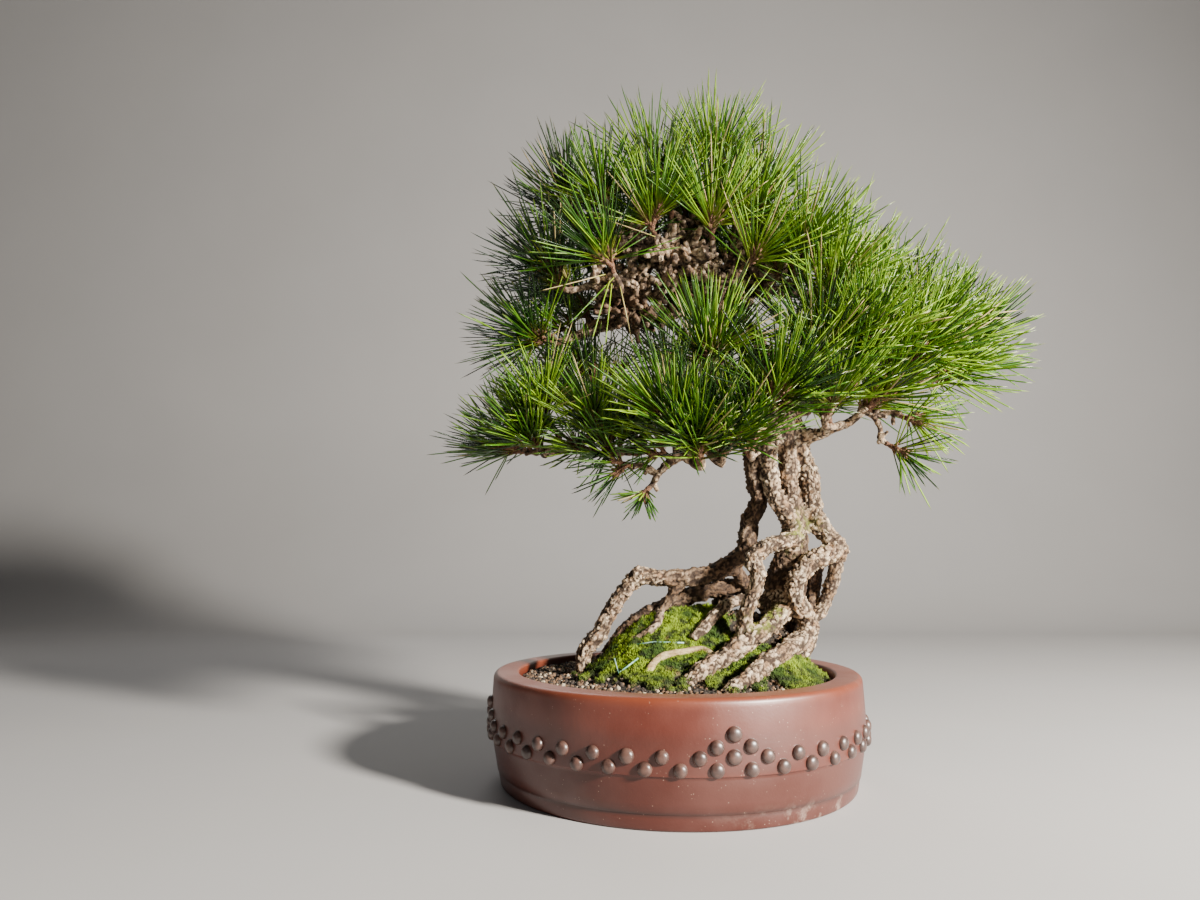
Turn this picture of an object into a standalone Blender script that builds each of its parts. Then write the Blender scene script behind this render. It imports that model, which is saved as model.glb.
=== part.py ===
"""Exposed-root black pine bonsai in a round studded stoneware pot.

Frame: metres, +Z up. The origin is the middle of the pot's flat underside, on
the surface the pot stands on, with the front of the tree towards -Y.
Route points are written in millimetres and turned into metres by MM.
"""

import math

import bmesh
import bpy
import numpy as np
from mathutils import Vector

MM = 0.001
GAP = 0.3                   # air left between neighbouring pieces
SEED = 7

# Pot, turned about Z.
POT_SEGMENTS = 40
POT_HEIGHT = 100.5
RIM_OUTER_R = 175.0
RIM_INNER_R = 151.4
BARREL_R = 177.0
LEDGE_Z = 42.6
FOOT_R = 168.0
FOOT_Z = 13.0
FLOOR_Z = 9.0
STUD_R = 5.95
STUD_PROUD = 4.5
STUD_PITCH = 9.0            # degrees between studs in one row
STUD_ROWS = (56.8, 47.6)
DIAMOND_ROWS = (64.8, 74.1)
FRONT_DIAMOND = -80.4       # degrees from +X: a little right of the front
DRAIN_R = 9.0
DRAIN_OFFSET = 45.0
CHANNEL_WIDTH = 8.0
CHANNEL_DEPTH = 3.0
SCREEN_SIDE = 28.0
SCREEN_THICK = 1.2
SCREEN_HOLE = 8.0

# Soil mound.
SOIL_RIM_Z = 93.0
MOUND_HEIGHT = 62.0
MOUND_X, MOUND_Y = 38.0, 20.0
MOUND_HALF_X, MOUND_HALF_Y = 104.0, 64.0
MOSS_THICK = 5.0
MOSS_PATCHES = 2
ROOT_AIR = 0.6              # left round each root in the soil and moss

# Needles.
NEEDLE_R = 0.9
NEEDLE_MIN, NEEDLE_MAX = 62.0, 92.0
NEEDLES_EACH = 8            # per spray, shared by its two shoots
SHOOT_LENGTH = 26.0
SHOOT_R = 2.3
# Size of the thin hanging sprays beside the others.
SPRAY_SIZE = {23: 0.8, 24: 0.45, 39: 0.8, 40: 0.8}



def root_sides(route):
    """Thick roots have six sides and thin ones five."""
    return 6 if max(p[3] for p in route) > 9.4 else 5


# Roots: name, then points (x, y, z, radius).
ROOTS = {
    "left_rear": [(90, 15, 344, 12), (85, 15, 318, 10.5), (84, 14, 287, 9.5), (89, 12, 270, 9.5),
                  (80, 12, 243, 9.5), (72, 10, 213, 11)],
    "long_left": [(74, 11, 217, 9), (56, 8, 199, 10), (28, 5, 190, 9.5),
                  (-14, 0, 188, 8), (-34, -2, 190, 10), (-50, -4, 176, 9),
                  (-62, -5, 159, 8.5), (-73, -6, 135, 8), (-88, -6, 117, 8), (-93, -6, 84, 8)],
    "left_prop": [(11, 2, 190, 6), (3, 3, 178, 6), (-5, 4, 165, 5.5), (-15, 4, 152, 5)],
    "left_stub": [(-14, 5, 155, 5), (-15, -6, 148, 4.5), (-25, -17, 137, 4.5), (-42, -15, 129, 4)],
    "left_link": [(60, 9, 202, 7), (67, 12, 188, 6.5), (74, 20, 176, 6.5)],
    "front_left": [(96, -14, 340, 10), (94, -19, 308, 9.5), (96, -20, 280, 9),
                   (105, -18, 259, 10), (114, -14, 244, 10), (122, -6, 228, 10)],
    "front_mid": [(113, -6, 338, 11), (115, -8, 308, 10), (116, -8, 276, 10),
                  (121, -6, 253, 10.5), (125, -3, 231, 11)],
    "right": [(124, 2, 342, 12), (129, 0, 319, 11), (138, 0, 286, 10.5),
              (141, 0, 253, 10), (149, 0, 237, 10), (161, 2, 222, 9.5), (168, 4, 208, 9)],
    "right_outer": [(167, 4, 211, 7.5), (160, 8, 185, 7), (152, 8, 165, 6.5), (143, 4, 150, 6.5),
                    (133, -4, 141, 7)],
    "right_inner": [(170, 3, 212, 8), (154, -4, 211, 10), (134, -14, 204, 10), (120, -20, 190, 10),
                    (115, -22, 182, 9.5), (117, -20, 166, 9.5), (127, -14, 151, 10),
                    (133, -9, 138, 10)],
    "right_foot": [(131, -10, 143, 9), (123, -20, 132, 9.5), (96, -46, 120, 9), (68, -76, 109, 8),
                   (47, -96, 100, 7.5), (31, -110, 91, 7)],
    "right_foot_small": [(136, -9, 138, 5), (131, -12, 124, 5), (120, -20, 110, 4.5),
                         (112, -25, 99, 4.5), (104, -29, 88, 4)],
    "hanging": [(123, -8, 228, 9), (113, -18, 226, 8.5), (95, -26, 221, 8.5), (78, -32, 212, 9),
                (73, -34, 204, 9), (78, -36, 191, 8.5), (73, -36, 174, 8), (64, -35, 153, 8),
                (59, -28, 118, 6)],
    "core": [(122, 4, 238, 13), (117, 4, 216, 14), (110, 6, 199, 14), (107, 8, 181, 15),
             (109, 8, 161, 16), (110, 8, 118, 14)],
    "big_front": [(92, 12, 163, 10.5), (106, -8, 161, 10.5), (97, -20, 150, 10), (79, -31, 138, 10),
                  (59, -45, 126, 10), (35, -59, 115, 9.5), (18, -69, 107, 9), (2, -79, 94, 8.5)],
    "mid_front": [(94, 6, 163, 7), (73, 2, 166, 6.5), (61, -2, 166, 6.5), (44, -9, 156, 6),
                  (29, -21, 143, 6), (15, -30, 129, 5.5)],
    "pale_front": [(36, -54, 115, 3.5), (22, -40, 123, 3.5), (3, -45, 121, 3.5),
                   (-16, -49, 117, 4), (-28, -62, 107, 4), (-34, -68, 95, 4)],
    "ridge": [(114, 12, 202, 9), (100, 20, 188, 9.5), (75, 22, 180, 9.5), (54, 22, 177, 9),
              (29, 21, 173, 9), (3, 18, 165, 8.5), (-32, 14, 147, 8), (-51, 12, 131, 7.5),
              (-66, 8, 112, 7)],
    "inner": [(165, 10, 209, 6), (150, 22, 202, 7), (146, 22, 189, 7), (142, 20, 171, 7),
              (134, 8, 150, 7), (132, -2, 143, 6.5)],
    "rear": [(118, 12, 332, 11), (124, 26, 300, 10), (129, 36, 265, 10), (130, 44, 230, 9.5),
             (128, 52, 195, 9.5), (122, 61, 160, 9), (114, 70, 125, 8.5), (106, 76, 92, 8)],
    "rear_right": [(126, 32, 262, 7), (137, 42, 225, 8), (138, 50, 190, 8), (138, 56, 155, 7.5),
                   (132, 56, 120, 7), (126, 54, 88, 6.5)],
    "rear_left": [(56, 27, 174, 7.5), (46, 48, 152, 7.5), (36, 72, 120, 7), (26, 92, 95, 6.5),
                  (20, 100, 84, 6)],
}

# Trunk and branches above the roots: points (x, y, z, radius).
BRANCHES = {
    "trunk": [(109, 3, 326, 19), (112, 5, 345, 19), (110, 7, 368, 18), (101, 9, 396, 17),
              (87, 10, 424, 16), (66, 12, 452, 15), (44, 12, 477, 13.5), (24, 10, 501, 12),
              (16, 8, 524, 10), (24, 4, 548, 8.5), (36, 0, 572, 7), (42, -4, 594, 5)],
    "low_front": [(106, -2, 338, 9), (63, -35, 329, 7.5), (23, -62, 312, 6.5), (-4, -72, 298, 5),
                  (-16, -76, 288, 3.5), (-22, -80, 281, 2.8)],
    "low_front_side": [(64, -36, 329, 6), (56, -66, 322, 5), (62, -92, 324, 4)],
    "low_left": [(101, 8, 392, 11), (64, 2, 390, 9), (29, -4, 378, 8), (-25, -12, 352, 7),
                 (-68, -18, 333, 6), (-106, -20, 317, 5), (-132, -18, 312, 4)],
    "low_left_front": [(-18, -12, 354, 5.5), (-30, -42, 328, 4.5), (-32, -66, 304, 4)],
    "low_left_back": [(-28, -12, 351, 5.5), (-52, 26, 356, 5), (-84, 54, 364, 4)],
    "mid_left": [(44, 12, 477, 10), (4, 4, 462, 8.5), (-36, -4, 452, 7), (-76, -10, 440, 5.5),
                 (-106, -14, 428, 4.5)],
    "mid_left_up": [(-20, 0, 457, 6.5), (-52, -16, 470, 5.5), (-82, -28, 480, 4.5)],
    "crown_left": [(20, 9, 506, 9), (-16, 2, 518, 7.5), (-50, -12, 530, 6), (-78, -14, 540, 5)],
    "crown_front": [(24, 10, 500, 8.5), (16, -20, 498, 7), (4, -44, 500, 5.5), (-8, -58, 504, 4.5)],
    "crown_right": [(52, 12, 470, 9.5), (75, 2, 487, 8), (98, -8, 501, 6.4), (114, -11, 513, 5.4),
                    (124, -6, 524, 4.5)],
    "crown_back": [(30, 10, 494, 8.5), (24, 44, 512, 7), (12, 74, 528, 5.5), (4, 92, 540, 4.5)],
    "back_left": [(50, 12, 471, 8), (14, 44, 474, 7), (-30, 64, 480, 5.5), (-72, 66, 484, 4.5)],
    "right_mid": [(100, 9, 398, 11), (138, 0, 408, 9.5), (178, -8, 412, 8.5), (222, -12, 410, 7),
                  (258, -10, 406, 5.5), (284, -6, 410, 4.5)],
    "right_mid_front": [(150, -3, 409, 7), (160, -34, 390, 6), (158, -60, 376, 4.5)],
    "right_mid_back": [(164, -5, 411, 7), (186, 34, 414, 6), (214, 58, 416, 5)],
    "right_low": [(128, 0, 328, 9), (141, -16, 330, 7), (155, -28, 334, 5.5), (168, -38, 338, 4.5),
                  (181, -44, 347, 3.4), (190, -46, 343, 3), (195, -48, 333, 2.8),
                  (196, -48, 325, 2.8)],
    "front_up": [(106, 2, 378, 9), (98, -36, 366, 7.5), (84, -64, 352, 6), (76, -84, 340, 4.5)],
    "front_left_up": [(98, 6, 402, 7.5), (66, -30, 386, 6), (38, -60, 372, 5)],
    "back_low": [(110, 10, 360, 10), (104, 52, 364, 8), (94, 88, 368, 6.5), (70, 108, 374, 5)],
    "back_low_right": [(103, 60, 364, 6.5), (136, 86, 368, 5.5), (164, 94, 372, 4.5)],
    "upper_right": [(74, 2, 492, 6.5), (112, 18, 490, 6), (152, 26, 488, 5), (184, 20, 492, 4.5)],
}

# Short bare stubs in the open front of the crown: start, end and radius.
STUBS = [
    ((20, -16, 498), (32, -40, 486), 4.2), ((8, -36, 500), (26, -50, 494), 3.8),
    ((4, 2, 462), (12, -24, 476), 4.2), ((-10, 0, 460), (-14, -28, 470), 4.0),
    ((-30, -2, 454), (-22, -30, 444), 3.8), ((12, -26, 498), (-8, -34, 484), 3.8),
    ((60, 8, 460), (62, -18, 474), 4.6), ((52, 8, 468), (34, -14, 474), 4.4),
    ((76, 0, 490), (56, -18, 494), 4.0), ((-44, -6, 450), (-50, -32, 448), 3.6),
    ((70, 8, 446), (52, -20, 446), 4.6), ((-52, -16, 470), (-36, -36, 478), 3.4),
]

# Sprays: base of the shoot (x, y, z) and its direction.
SPRAYS = [
    (35, -70, 510, .05, -.33, .94), (-20, -70, 515, -.2, -.3, .93), (-60, -75, 475, -.44, -.44, .78),
    (70, -50, 525, .25, -.28, .93), (62, -72, 480, .6, -.56, .56), (119, -56, 490, .38, -.33, .86),
    (145, -65, 455, .33, -.42, .84), (216, -16, 447, .25, -.2, .95), (238, -35, 424, .5, -.25, .84),
    (286, -8, 418, .72, -.1, .69), (254, -30, 386, .92, -.26, .3), (216, -64, 392, .6, -.5, .6),
    (172, -78, 400, .35, -.5, .8), (130, -88, 384, .15, -.4, .9), (140, -84, 345, .32, -.53, .79),
    (182, -54, 350, .75, -.42, .5), (82, -104, 342, .1, -.4, .91),
    (66, -82, 305, .05, -.51, .86), (18, -92, 300, -.05, -.33, .94), (40, -76, 301, 0, -.52, .85),
    (28, -86, 382, -.15, -.4, .9), (-8, -94, 322, -.36, -.46, .81), (-44, -84, 290, -.84, -.5, -.1),
    (-28, -84, 271, -.66, -.13, -.73), (-72, -56, 322, -.31, -.36, .88),
    (-132, -36, 313, -.55, -.33, .77), (-152, -12, 315, -.95, -.11, .3),
    (-122, -30, 344, -.41, -.3, .86), (-128, -18, 425, -.98, -.11, .16),
    (-116, -38, 482, -.65, -.38, .65), (-66, -46, 546, -.29, -.24, .92),
    (-102, -6, 562, -.5, .05, .86), (-14, -24, 588, -.1, -.1, .99), (44, -10, 603, .05, 0, 1),
    (96, -14, 574, .3, -.1, .95), (140, 2, 504, .42, .05, .9), (196, 18, 480, .42, .1, .9),
    (274, 28, 420, .52, .24, .82), (200, -47, 317, .81, -.22, -.54), (214, -50, 343, .94, -.22, -.28),
    (-108, 64, 500, -.6, .4, .7), (-30, 92, 560, -.25, .6, .75), (40, 96, 572, .15, .6, .8),
    (110, 70, 540, .45, .55, .7), (205, 82, 440, .35, .7, .62), (-100, 70, 375, -.6, .55, .58),
    (40, 128, 385, -.2, .8, .55), (168, 112, 385, .4, .75, .52),
]

# Outline of each moss blanket in plan: centre, reach along X and along Y.
MOSS = [((-14, -18), 70, 60), ((66, -52), 46, 24), ((112, -52), 24, 26)]

WIRE_R = 0.7
WIRE_AIR = 0.4
WIRES = {
    "anchor_wire_1": [(-60, -58, 117), (-56, -56, 103.5), (-38, -57, 117)],
    "anchor_wire_2": [(-46, -25, 125), (-21, -31, 129), (6, -35.5, 128.5)],
}


def material(name, colour, roughness, metallic=0.0):
    made = bpy.data.materials.new(name)
    made.use_nodes = True
    surface = made.node_tree.nodes["Principled BSDF"]
    surface.inputs["Base Color"].default_value = (*colour, 1.0)
    surface.inputs["Roughness"].default_value = roughness
    surface.inputs["Metallic"].default_value = metallic
    made.diffuse_color = (*colour, 1.0)
    return made


def add_object(name, bm, look=None):
    """One object from a bmesh in millimetres."""
    bmesh.ops.scale(bm, vec=(MM, MM, MM), verts=bm.verts)
    bmesh.ops.recalc_face_normals(bm, faces=bm.faces)
    mesh = bpy.data.meshes.new(name)
    bm.to_mesh(mesh)
    bm.free()
    made = bpy.data.objects.new(name, mesh)
    bpy.context.scene.collection.objects.link(made)
    if look:
        mesh.materials.append(look)
    return made


def apply_modifiers(obj):
    graph = bpy.context.evaluated_depsgraph_get()
    done = bpy.data.meshes.new_from_object(obj.evaluated_get(graph))
    obj.modifiers.clear()
    obj.data = done


def combine(obj, others, operation, solver):
    """One Boolean of obj with a whole collection, applied, and the collection's objects removed."""
    group = bpy.data.collections.new(obj.name + "_parts")
    bpy.context.scene.collection.children.link(group)
    for other in others:
        bpy.context.scene.collection.objects.unlink(other)
        group.objects.link(other)
    step = obj.modifiers.new(operation.lower(), "BOOLEAN")
    step.operation = operation
    step.operand_type = "COLLECTION"
    step.collection = group
    step.solver = solver
    apply_modifiers(obj)
    for other in others:
        bpy.data.objects.remove(other)
    bpy.data.collections.remove(group)
    return obj


def bodies_of(obj):
    """The separate closed shells of a mesh as (signed volume in mm3, faces), largest first."""
    bm = bmesh.new()
    bm.from_mesh(obj.data)
    bm.faces.ensure_lookup_table()
    seen = set()
    found = []
    for first in bm.faces:
        if first.index in seen:
            continue
        seen.add(first.index)
        shell = [first]
        for face in shell:
            for edge in face.edges:
                for other in edge.link_faces:
                    if other.index not in seen:
                        seen.add(other.index)
                        shell.append(other)
        volume = 0.0
        for face in shell:
            points = [loop.vert.co for loop in face.loops]
            for a, b in zip(points[1:], points[2:]):
                volume += points[0].dot(a.cross(b)) / 6
        found.append((volume / MM**3, [face.index for face in shell]))
    bm.free()
    return sorted(found, key=lambda pair: -pair[0])


def keep_faces(mesh, kept):
    bm = bmesh.new()
    bm.from_mesh(mesh)
    kept = set(kept)
    bmesh.ops.delete(bm, geom=[f for f in bm.faces if f.index not in kept], context="FACES")
    bm.to_mesh(mesh)
    bm.free()


def largest_body(obj):
    """Drops loose scraps and fills sealed hollows: both are shells other than the largest."""
    keep_faces(obj.data, bodies_of(obj)[0][1])
    return obj


def tube(name, points, radii, sides, grow=0.0, look=None, turn=0.0):
    """A closed many-sided tube through the points; grow widens and lengthens it all round."""
    points = [Vector(p) for p in points]
    if grow:
        points[0] = points[0] + (points[0] - points[1]).normalized() * grow
        points[-1] = points[-1] + (points[-1] - points[-2]).normalized() * grow
    bm = bmesh.new()
    across = None
    rings = []
    last = len(points) - 1
    for i, point in enumerate(points):
        ahead = (points[min(i + 1, last)] - points[max(i - 1, 0)]).normalized()
        if across is None:
            across = ahead.cross(Vector((0.31, 0.83, 0.46))).normalized()
        across = (across - ahead * across.dot(ahead)).normalized()
        up = ahead.cross(across)
        ring = []
        for k in range(sides):
            angle = 2 * math.pi * k / sides + turn
            reach = radii[i] + grow
            ring.append(bm.verts.new(point + (across * math.cos(angle) + up * math.sin(angle)) * reach))
        rings.append(ring)
    for low, high in zip(rings, rings[1:]):
        for k in range(sides):
            j = (k + 1) % sides
            bm.faces.new((low[k], low[j], high[j], high[k]))
    bm.faces.new(rings[0][::-1])
    bm.faces.new(rings[-1])
    return add_object(name, bm, look)


def box(name, centre, size, look=None):
    bm = bmesh.new()
    bmesh.ops.create_cube(bm, size=1.0)
    bmesh.ops.scale(bm, vec=size, verts=bm.verts)
    bmesh.ops.translate(bm, vec=centre, verts=bm.verts)
    return add_object(name, bm, look)


def turned(name, profile, segments, look=None):
    """A solid of revolution about Z from (radius, z) points that start and end on the axis."""
    bm = bmesh.new()
    ring = [bm.verts.new((r, 0, z)) for r, z in profile]
    edges = [bm.edges.new(pair) for pair in zip(ring, ring[1:])]
    bmesh.ops.spin(bm, geom=ring + edges, cent=(0, 0, 0), axis=(0, 0, 1), angle=2 * math.pi,
                   steps=segments, use_merge=True)
    bmesh.ops.remove_doubles(bm, verts=bm.verts, dist=1e-4)
    return add_object(name, bm, look)


# Pot.

def stud(angle, z):
    """A low six-sided boss standing out of the barrel, its root sunk into the wall."""
    reach = math.radians(angle)
    out = Vector((math.cos(reach), math.sin(reach), 0))
    side = Vector((-out.y, out.x, 0))
    wall = BARREL_R - 0.3 - 0.02 * (z - LEDGE_Z)
    bm = bmesh.new()
    rings = []
    for depth, radius in ((-3.0, STUD_R), (2.6, 5.0)):
        centre = out * (wall + depth) + Vector((0, 0, z))
        rings.append([bm.verts.new(centre + (side * math.cos(a) + Vector((0, 0, math.sin(a)))) * radius)
                      for a in (math.radians(60 * k + 30) for k in range(6))])
    top = bm.verts.new(out * (wall + STUD_PROUD) + Vector((0, 0, z)))
    bm.faces.new(rings[0][::-1])
    for low, high in zip(rings, rings[1:]):
        for k in range(6):
            bm.faces.new((low[k], low[k - 5], high[k - 5], high[k]))
    for k in range(6):
        bm.faces.new((rings[1][k], rings[1][k - 5], top))
    return add_object("stud", bm)


def drain_centres():
    """Three holes round the middle of the floor, one of them towards the back."""
    return [(DRAIN_OFFSET * math.cos(a), DRAIN_OFFSET * math.sin(a))
            for a in (math.radians(90 + 120 * k) for k in range(3))]


def make_pot(look):
    profile = [(0, 0), (FOOT_R, 0), (FOOT_R + 2, FOOT_Z),
               (FOOT_R + 3.2, FOOT_Z + 1.2), (BARREL_R - 1.6, LEDGE_Z - 1), (BARREL_R, LEDGE_Z + 1),
               (RIM_OUTER_R + 1, POT_HEIGHT - 6), (RIM_OUTER_R - 0.8, POT_HEIGHT - 2),
               (RIM_OUTER_R - 5, POT_HEIGHT), (RIM_INNER_R + 2.2, POT_HEIGHT),
               (RIM_INNER_R, POT_HEIGHT - 2), (RIM_INNER_R - 1, FLOOR_Z), (0, FLOOR_Z)]
    pot = turned("pot", profile, POT_SEGMENTS, look)
    studs = []
    per_row = int(360 / STUD_PITCH)
    for i in range(per_row):
        studs.append(stud(FRONT_DIAMOND + STUD_PITCH * i, STUD_ROWS[0]))
        studs.append(stud(FRONT_DIAMOND + STUD_PITCH * (i + 0.5), STUD_ROWS[1]))
    for quarter in range(4):
        middle = FRONT_DIAMOND + 90 * quarter
        studs.append(stud(middle - STUD_PITCH / 2, DIAMOND_ROWS[0]))
        studs.append(stud(middle + STUD_PITCH / 2, DIAMOND_ROWS[0]))
        studs.append(stud(middle, DIAMOND_ROWS[1]))
    combine(pot, studs, "UNION", "EXACT")
    cutters = []
    for x, y in drain_centres():
        cutters.append(tube("drain", [(x, y, -5), (x, y, FLOOR_Z + 5)], [DRAIN_R] * 2, 10))
        length = BARREL_R + 10 - y
        cutters.append(box("channel", (x, y + length / 2, 0), (CHANNEL_WIDTH, length, CHANNEL_DEPTH * 2)))
    combine(pot, cutters, "DIFFERENCE", "EXACT")
    return pot


def make_screens(look):
    """Plastic drain screens laid on the pot's floor over the holes."""
    for i, (x, y) in enumerate(drain_centres()):
        z = FLOOR_Z + GAP + SCREEN_THICK / 2
        screen = box("drain_screen_%d" % (i + 1), (x, y, z), (SCREEN_SIDE, SCREEN_SIDE, SCREEN_THICK), look)
        holes = [box("hole", (x + 5.5 * a, y + 5.5 * b, z), (SCREEN_HOLE, SCREEN_HOLE, 6))
                 for a in (-1, 1) for b in (-1, 1)]
        combine(screen, holes, "DIFFERENCE", "EXACT")


# Soil and moss.

def ground(x, y):
    """Height of the soil: a long mound that fades to the level soil near the rim."""
    t = min(1.0, max(0.0, (math.hypot(x, y) - 112) / 38))
    fade = 1 - t * t * (3 - 2 * t)
    mound = math.exp(-(abs(x - MOUND_X) / MOUND_HALF_X) ** 4 - ((y - MOUND_Y) / MOUND_HALF_Y) ** 2)
    return SOIL_RIM_Z + MOUND_HEIGHT * mound * fade


def soil_shell(name, look=None, lift=0.0):
    """The soil as one closed solid: a mounded top over straight sides and a flat bottom."""
    segments = POT_SEGMENTS // 2
    reach = RIM_INNER_R - 1 - 2 * GAP
    bm = bmesh.new()
    top = [bm.verts.new((0, 0, ground(0, 0) + lift))]
    rings = []
    for r in (24, 46, 66, 86, 106, 128, reach):
        ring = []
        for k in range(segments):
            a = 2 * math.pi * k / segments
            x, y = r * math.cos(a), r * math.sin(a)
            ring.append(bm.verts.new((x, y, ground(x, y) + lift)))
        rings.append(ring)
    bottom = [bm.verts.new((reach * math.cos(2 * math.pi * k / segments),
                            reach * math.sin(2 * math.pi * k / segments),
                            FLOOR_Z + GAP + lift)) for k in range(segments)]
    for k in range(segments):
        bm.faces.new((top[0], rings[0][k], rings[0][k - segments + 1]))
    for low, high in zip(rings, rings[1:] + [bottom]):
        for k in range(segments):
            bm.faces.new((low[k], high[k], high[k - segments + 1], low[k - segments + 1]))
    bm.faces.new(bottom)
    bmesh.ops.triangulate(bm, faces=[f for f in bm.faces if len(f.verts) == 4])
    return add_object(name, bm, look)


def moss_blanket(centre, reach_x, reach_y):
    """A domed patch with a wavy outline, set a little into the mound before it is trimmed."""
    bm = bmesh.new()
    segments = 13
    rings = []
    shares = (0.65, 1.0)

    def at(share, k, offset):
        a = 2 * math.pi * k / segments
        wave = 1 + 0.07 * math.sin(3 * a + centre[0]) + 0.05 * math.sin(5 * a)
        x = centre[0] + reach_x * share * wave * math.cos(a)
        y = centre[1] + reach_y * share * wave * math.sin(a)
        return bm.verts.new((x, y, ground(x, y) + offset))

    middle = bm.verts.new((*centre, ground(*centre) + MOSS_THICK + 0.6))
    under = bm.verts.new((*centre, ground(*centre) - 6))
    for share, lump in zip(shares, (0.0, -2.6)):
        rings.append([at(share, k, MOSS_THICK + lump + 0.7 * math.sin(2.4 * k)) for k in range(segments)])
    base = [at(1.0, k, -6) for k in range(segments)]
    for k in range(segments):
        bm.faces.new((middle, rings[0][k - segments], rings[0][k - segments + 1]))
        bm.faces.new((under, base[k - segments + 1], base[k - segments]))
    for low, high in zip(rings, rings[1:] + [base]):
        for k in range(segments):
            bm.faces.new((low[k], high[k], high[k - segments + 1], low[k - segments + 1]))
    bmesh.ops.triangulate(bm, faces=[f for f in bm.faces if len(f.verts) == 4])
    return add_object("moss_blank", bm)


def ground_cutters(grow):
    """Every root and wire, a little oversize, to cut its own plain hole in soil and moss."""
    made = []
    for name, route in ROOTS.items():
        if min(p[2] for p in route) < 180:
            made.append(tube("cut_" + name, [p[:3] for p in route], [p[3] for p in route],
                             root_sides(route), grow))
    for name, route in WIRES.items():
        made.append(tube("cut_" + name, route, [WIRE_R] * len(route), 5, WIRE_AIR))
    return combine(made[0], made[1:], "UNION", "EXACT")


def make_soil(look):
    soil = soil_shell("soil", look)
    pockets = [box("pocket", (x, y, FLOOR_Z), (SCREEN_SIDE + 2 * GAP, SCREEN_SIDE + 2 * GAP,
                                              2 * (SCREEN_THICK + 2 * GAP))) for x, y in drain_centres()]
    combine(soil, pockets + [ground_cutters(ROOT_AIR)], "DIFFERENCE", "EXACT")
    return largest_body(soil)


def make_moss(look):
    """Trims the joined blankets to the mound and the roots, and keeps the patches left whole."""
    blanks = [moss_blanket(*row) for row in MOSS]
    whole = combine(blanks[0], blanks[1:], "UNION", "EXACT")
    combine(whole, [soil_shell("soil_lifted", lift=GAP), ground_cutters(ROOT_AIR)], "DIFFERENCE", "EXACT")
    for count, (_, faces) in enumerate(bodies_of(whole)[:MOSS_PATCHES]):
        mesh = whole.data.copy()
        patch = bpy.data.objects.new("moss_%d" % (count + 1), mesh)
        bpy.context.scene.collection.objects.link(patch)
        keep_faces(mesh, faces)
        mesh.materials.clear()
        mesh.materials.append(look)
    bpy.data.objects.remove(whole)


# Tree.

def unit(v):
    v = np.asarray(v, float)
    return v / np.linalg.norm(v)


def nearest_on_branches(point):
    """The nearest point on the trunk or a branch, and that branch's radius there."""
    best = None
    for route in BRANCHES.values():
        for a, b in zip(route, route[1:]):
            a, b = np.array(a, float), np.array(b, float)
            along = b[:3] - a[:3]
            t = np.clip(np.dot(point - a[:3], along) / np.dot(along, along), 0, 1)
            place = a + (b - a) * t
            reach = np.linalg.norm(point - place[:3])
            if best is None or reach - place[3] < best[0]:
                best = (reach - place[3], place[:3], place[3])
    return best


def twig_route(base, heading):
    """From the nearest branch to the spray's base, leaving the branch and arriving along the shoot."""
    _, root, radius = nearest_on_branches(base - 16 * heading)
    end = base - GAP * heading
    length = np.linalg.norm(end - root)
    before = end - heading * min(18, 0.4 * length)
    return [root, before, end], [min(3.8, radius * 0.9), 3.1, 2.6]


def shoots_of(index):
    """The two shoots of one spray, forking from its base: start and end of each."""
    row = SPRAYS[index]
    base, heading = np.array(row[:3], float), unit(row[3:])
    draw = np.random.default_rng(SEED * 1000 + index)
    side = unit(np.cross(heading, draw.normal(size=3)))
    lean = unit(heading + 0.34 * side)
    other = unit(heading - 0.62 * side)
    size = SPRAY_SIZE.get(index + 1, 1.0)
    fork = base + 7 * size * lean
    return [(base, base + SHOOT_LENGTH * size * lean), (fork, fork + SHOOT_LENGTH * 0.85 * size * other)]


def segment_distance(p, q, starts, ends):
    """Least distance from the segment pq to each of many segments."""
    d1, d2 = q - p, ends - starts
    r = p - starts
    a = d1 @ d1
    e = np.einsum("ij,ij->i", d2, d2)
    f = np.einsum("ij,ij->i", d2, r)
    b = d2 @ d1
    c = r @ d1
    s = np.clip((b * f - c * e) / np.maximum(a * e - b * b, 1e-9), 0, 1)
    for _ in range(3):
        t = np.clip((b * s + f) / np.maximum(e, 1e-9), 0, 1)
        s = np.clip((b * t - c) / a, 0, 1)
    gap = (p + s[:, None] * d1) - (starts + t[:, None] * d2)
    return np.linalg.norm(gap, axis=1)


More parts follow.
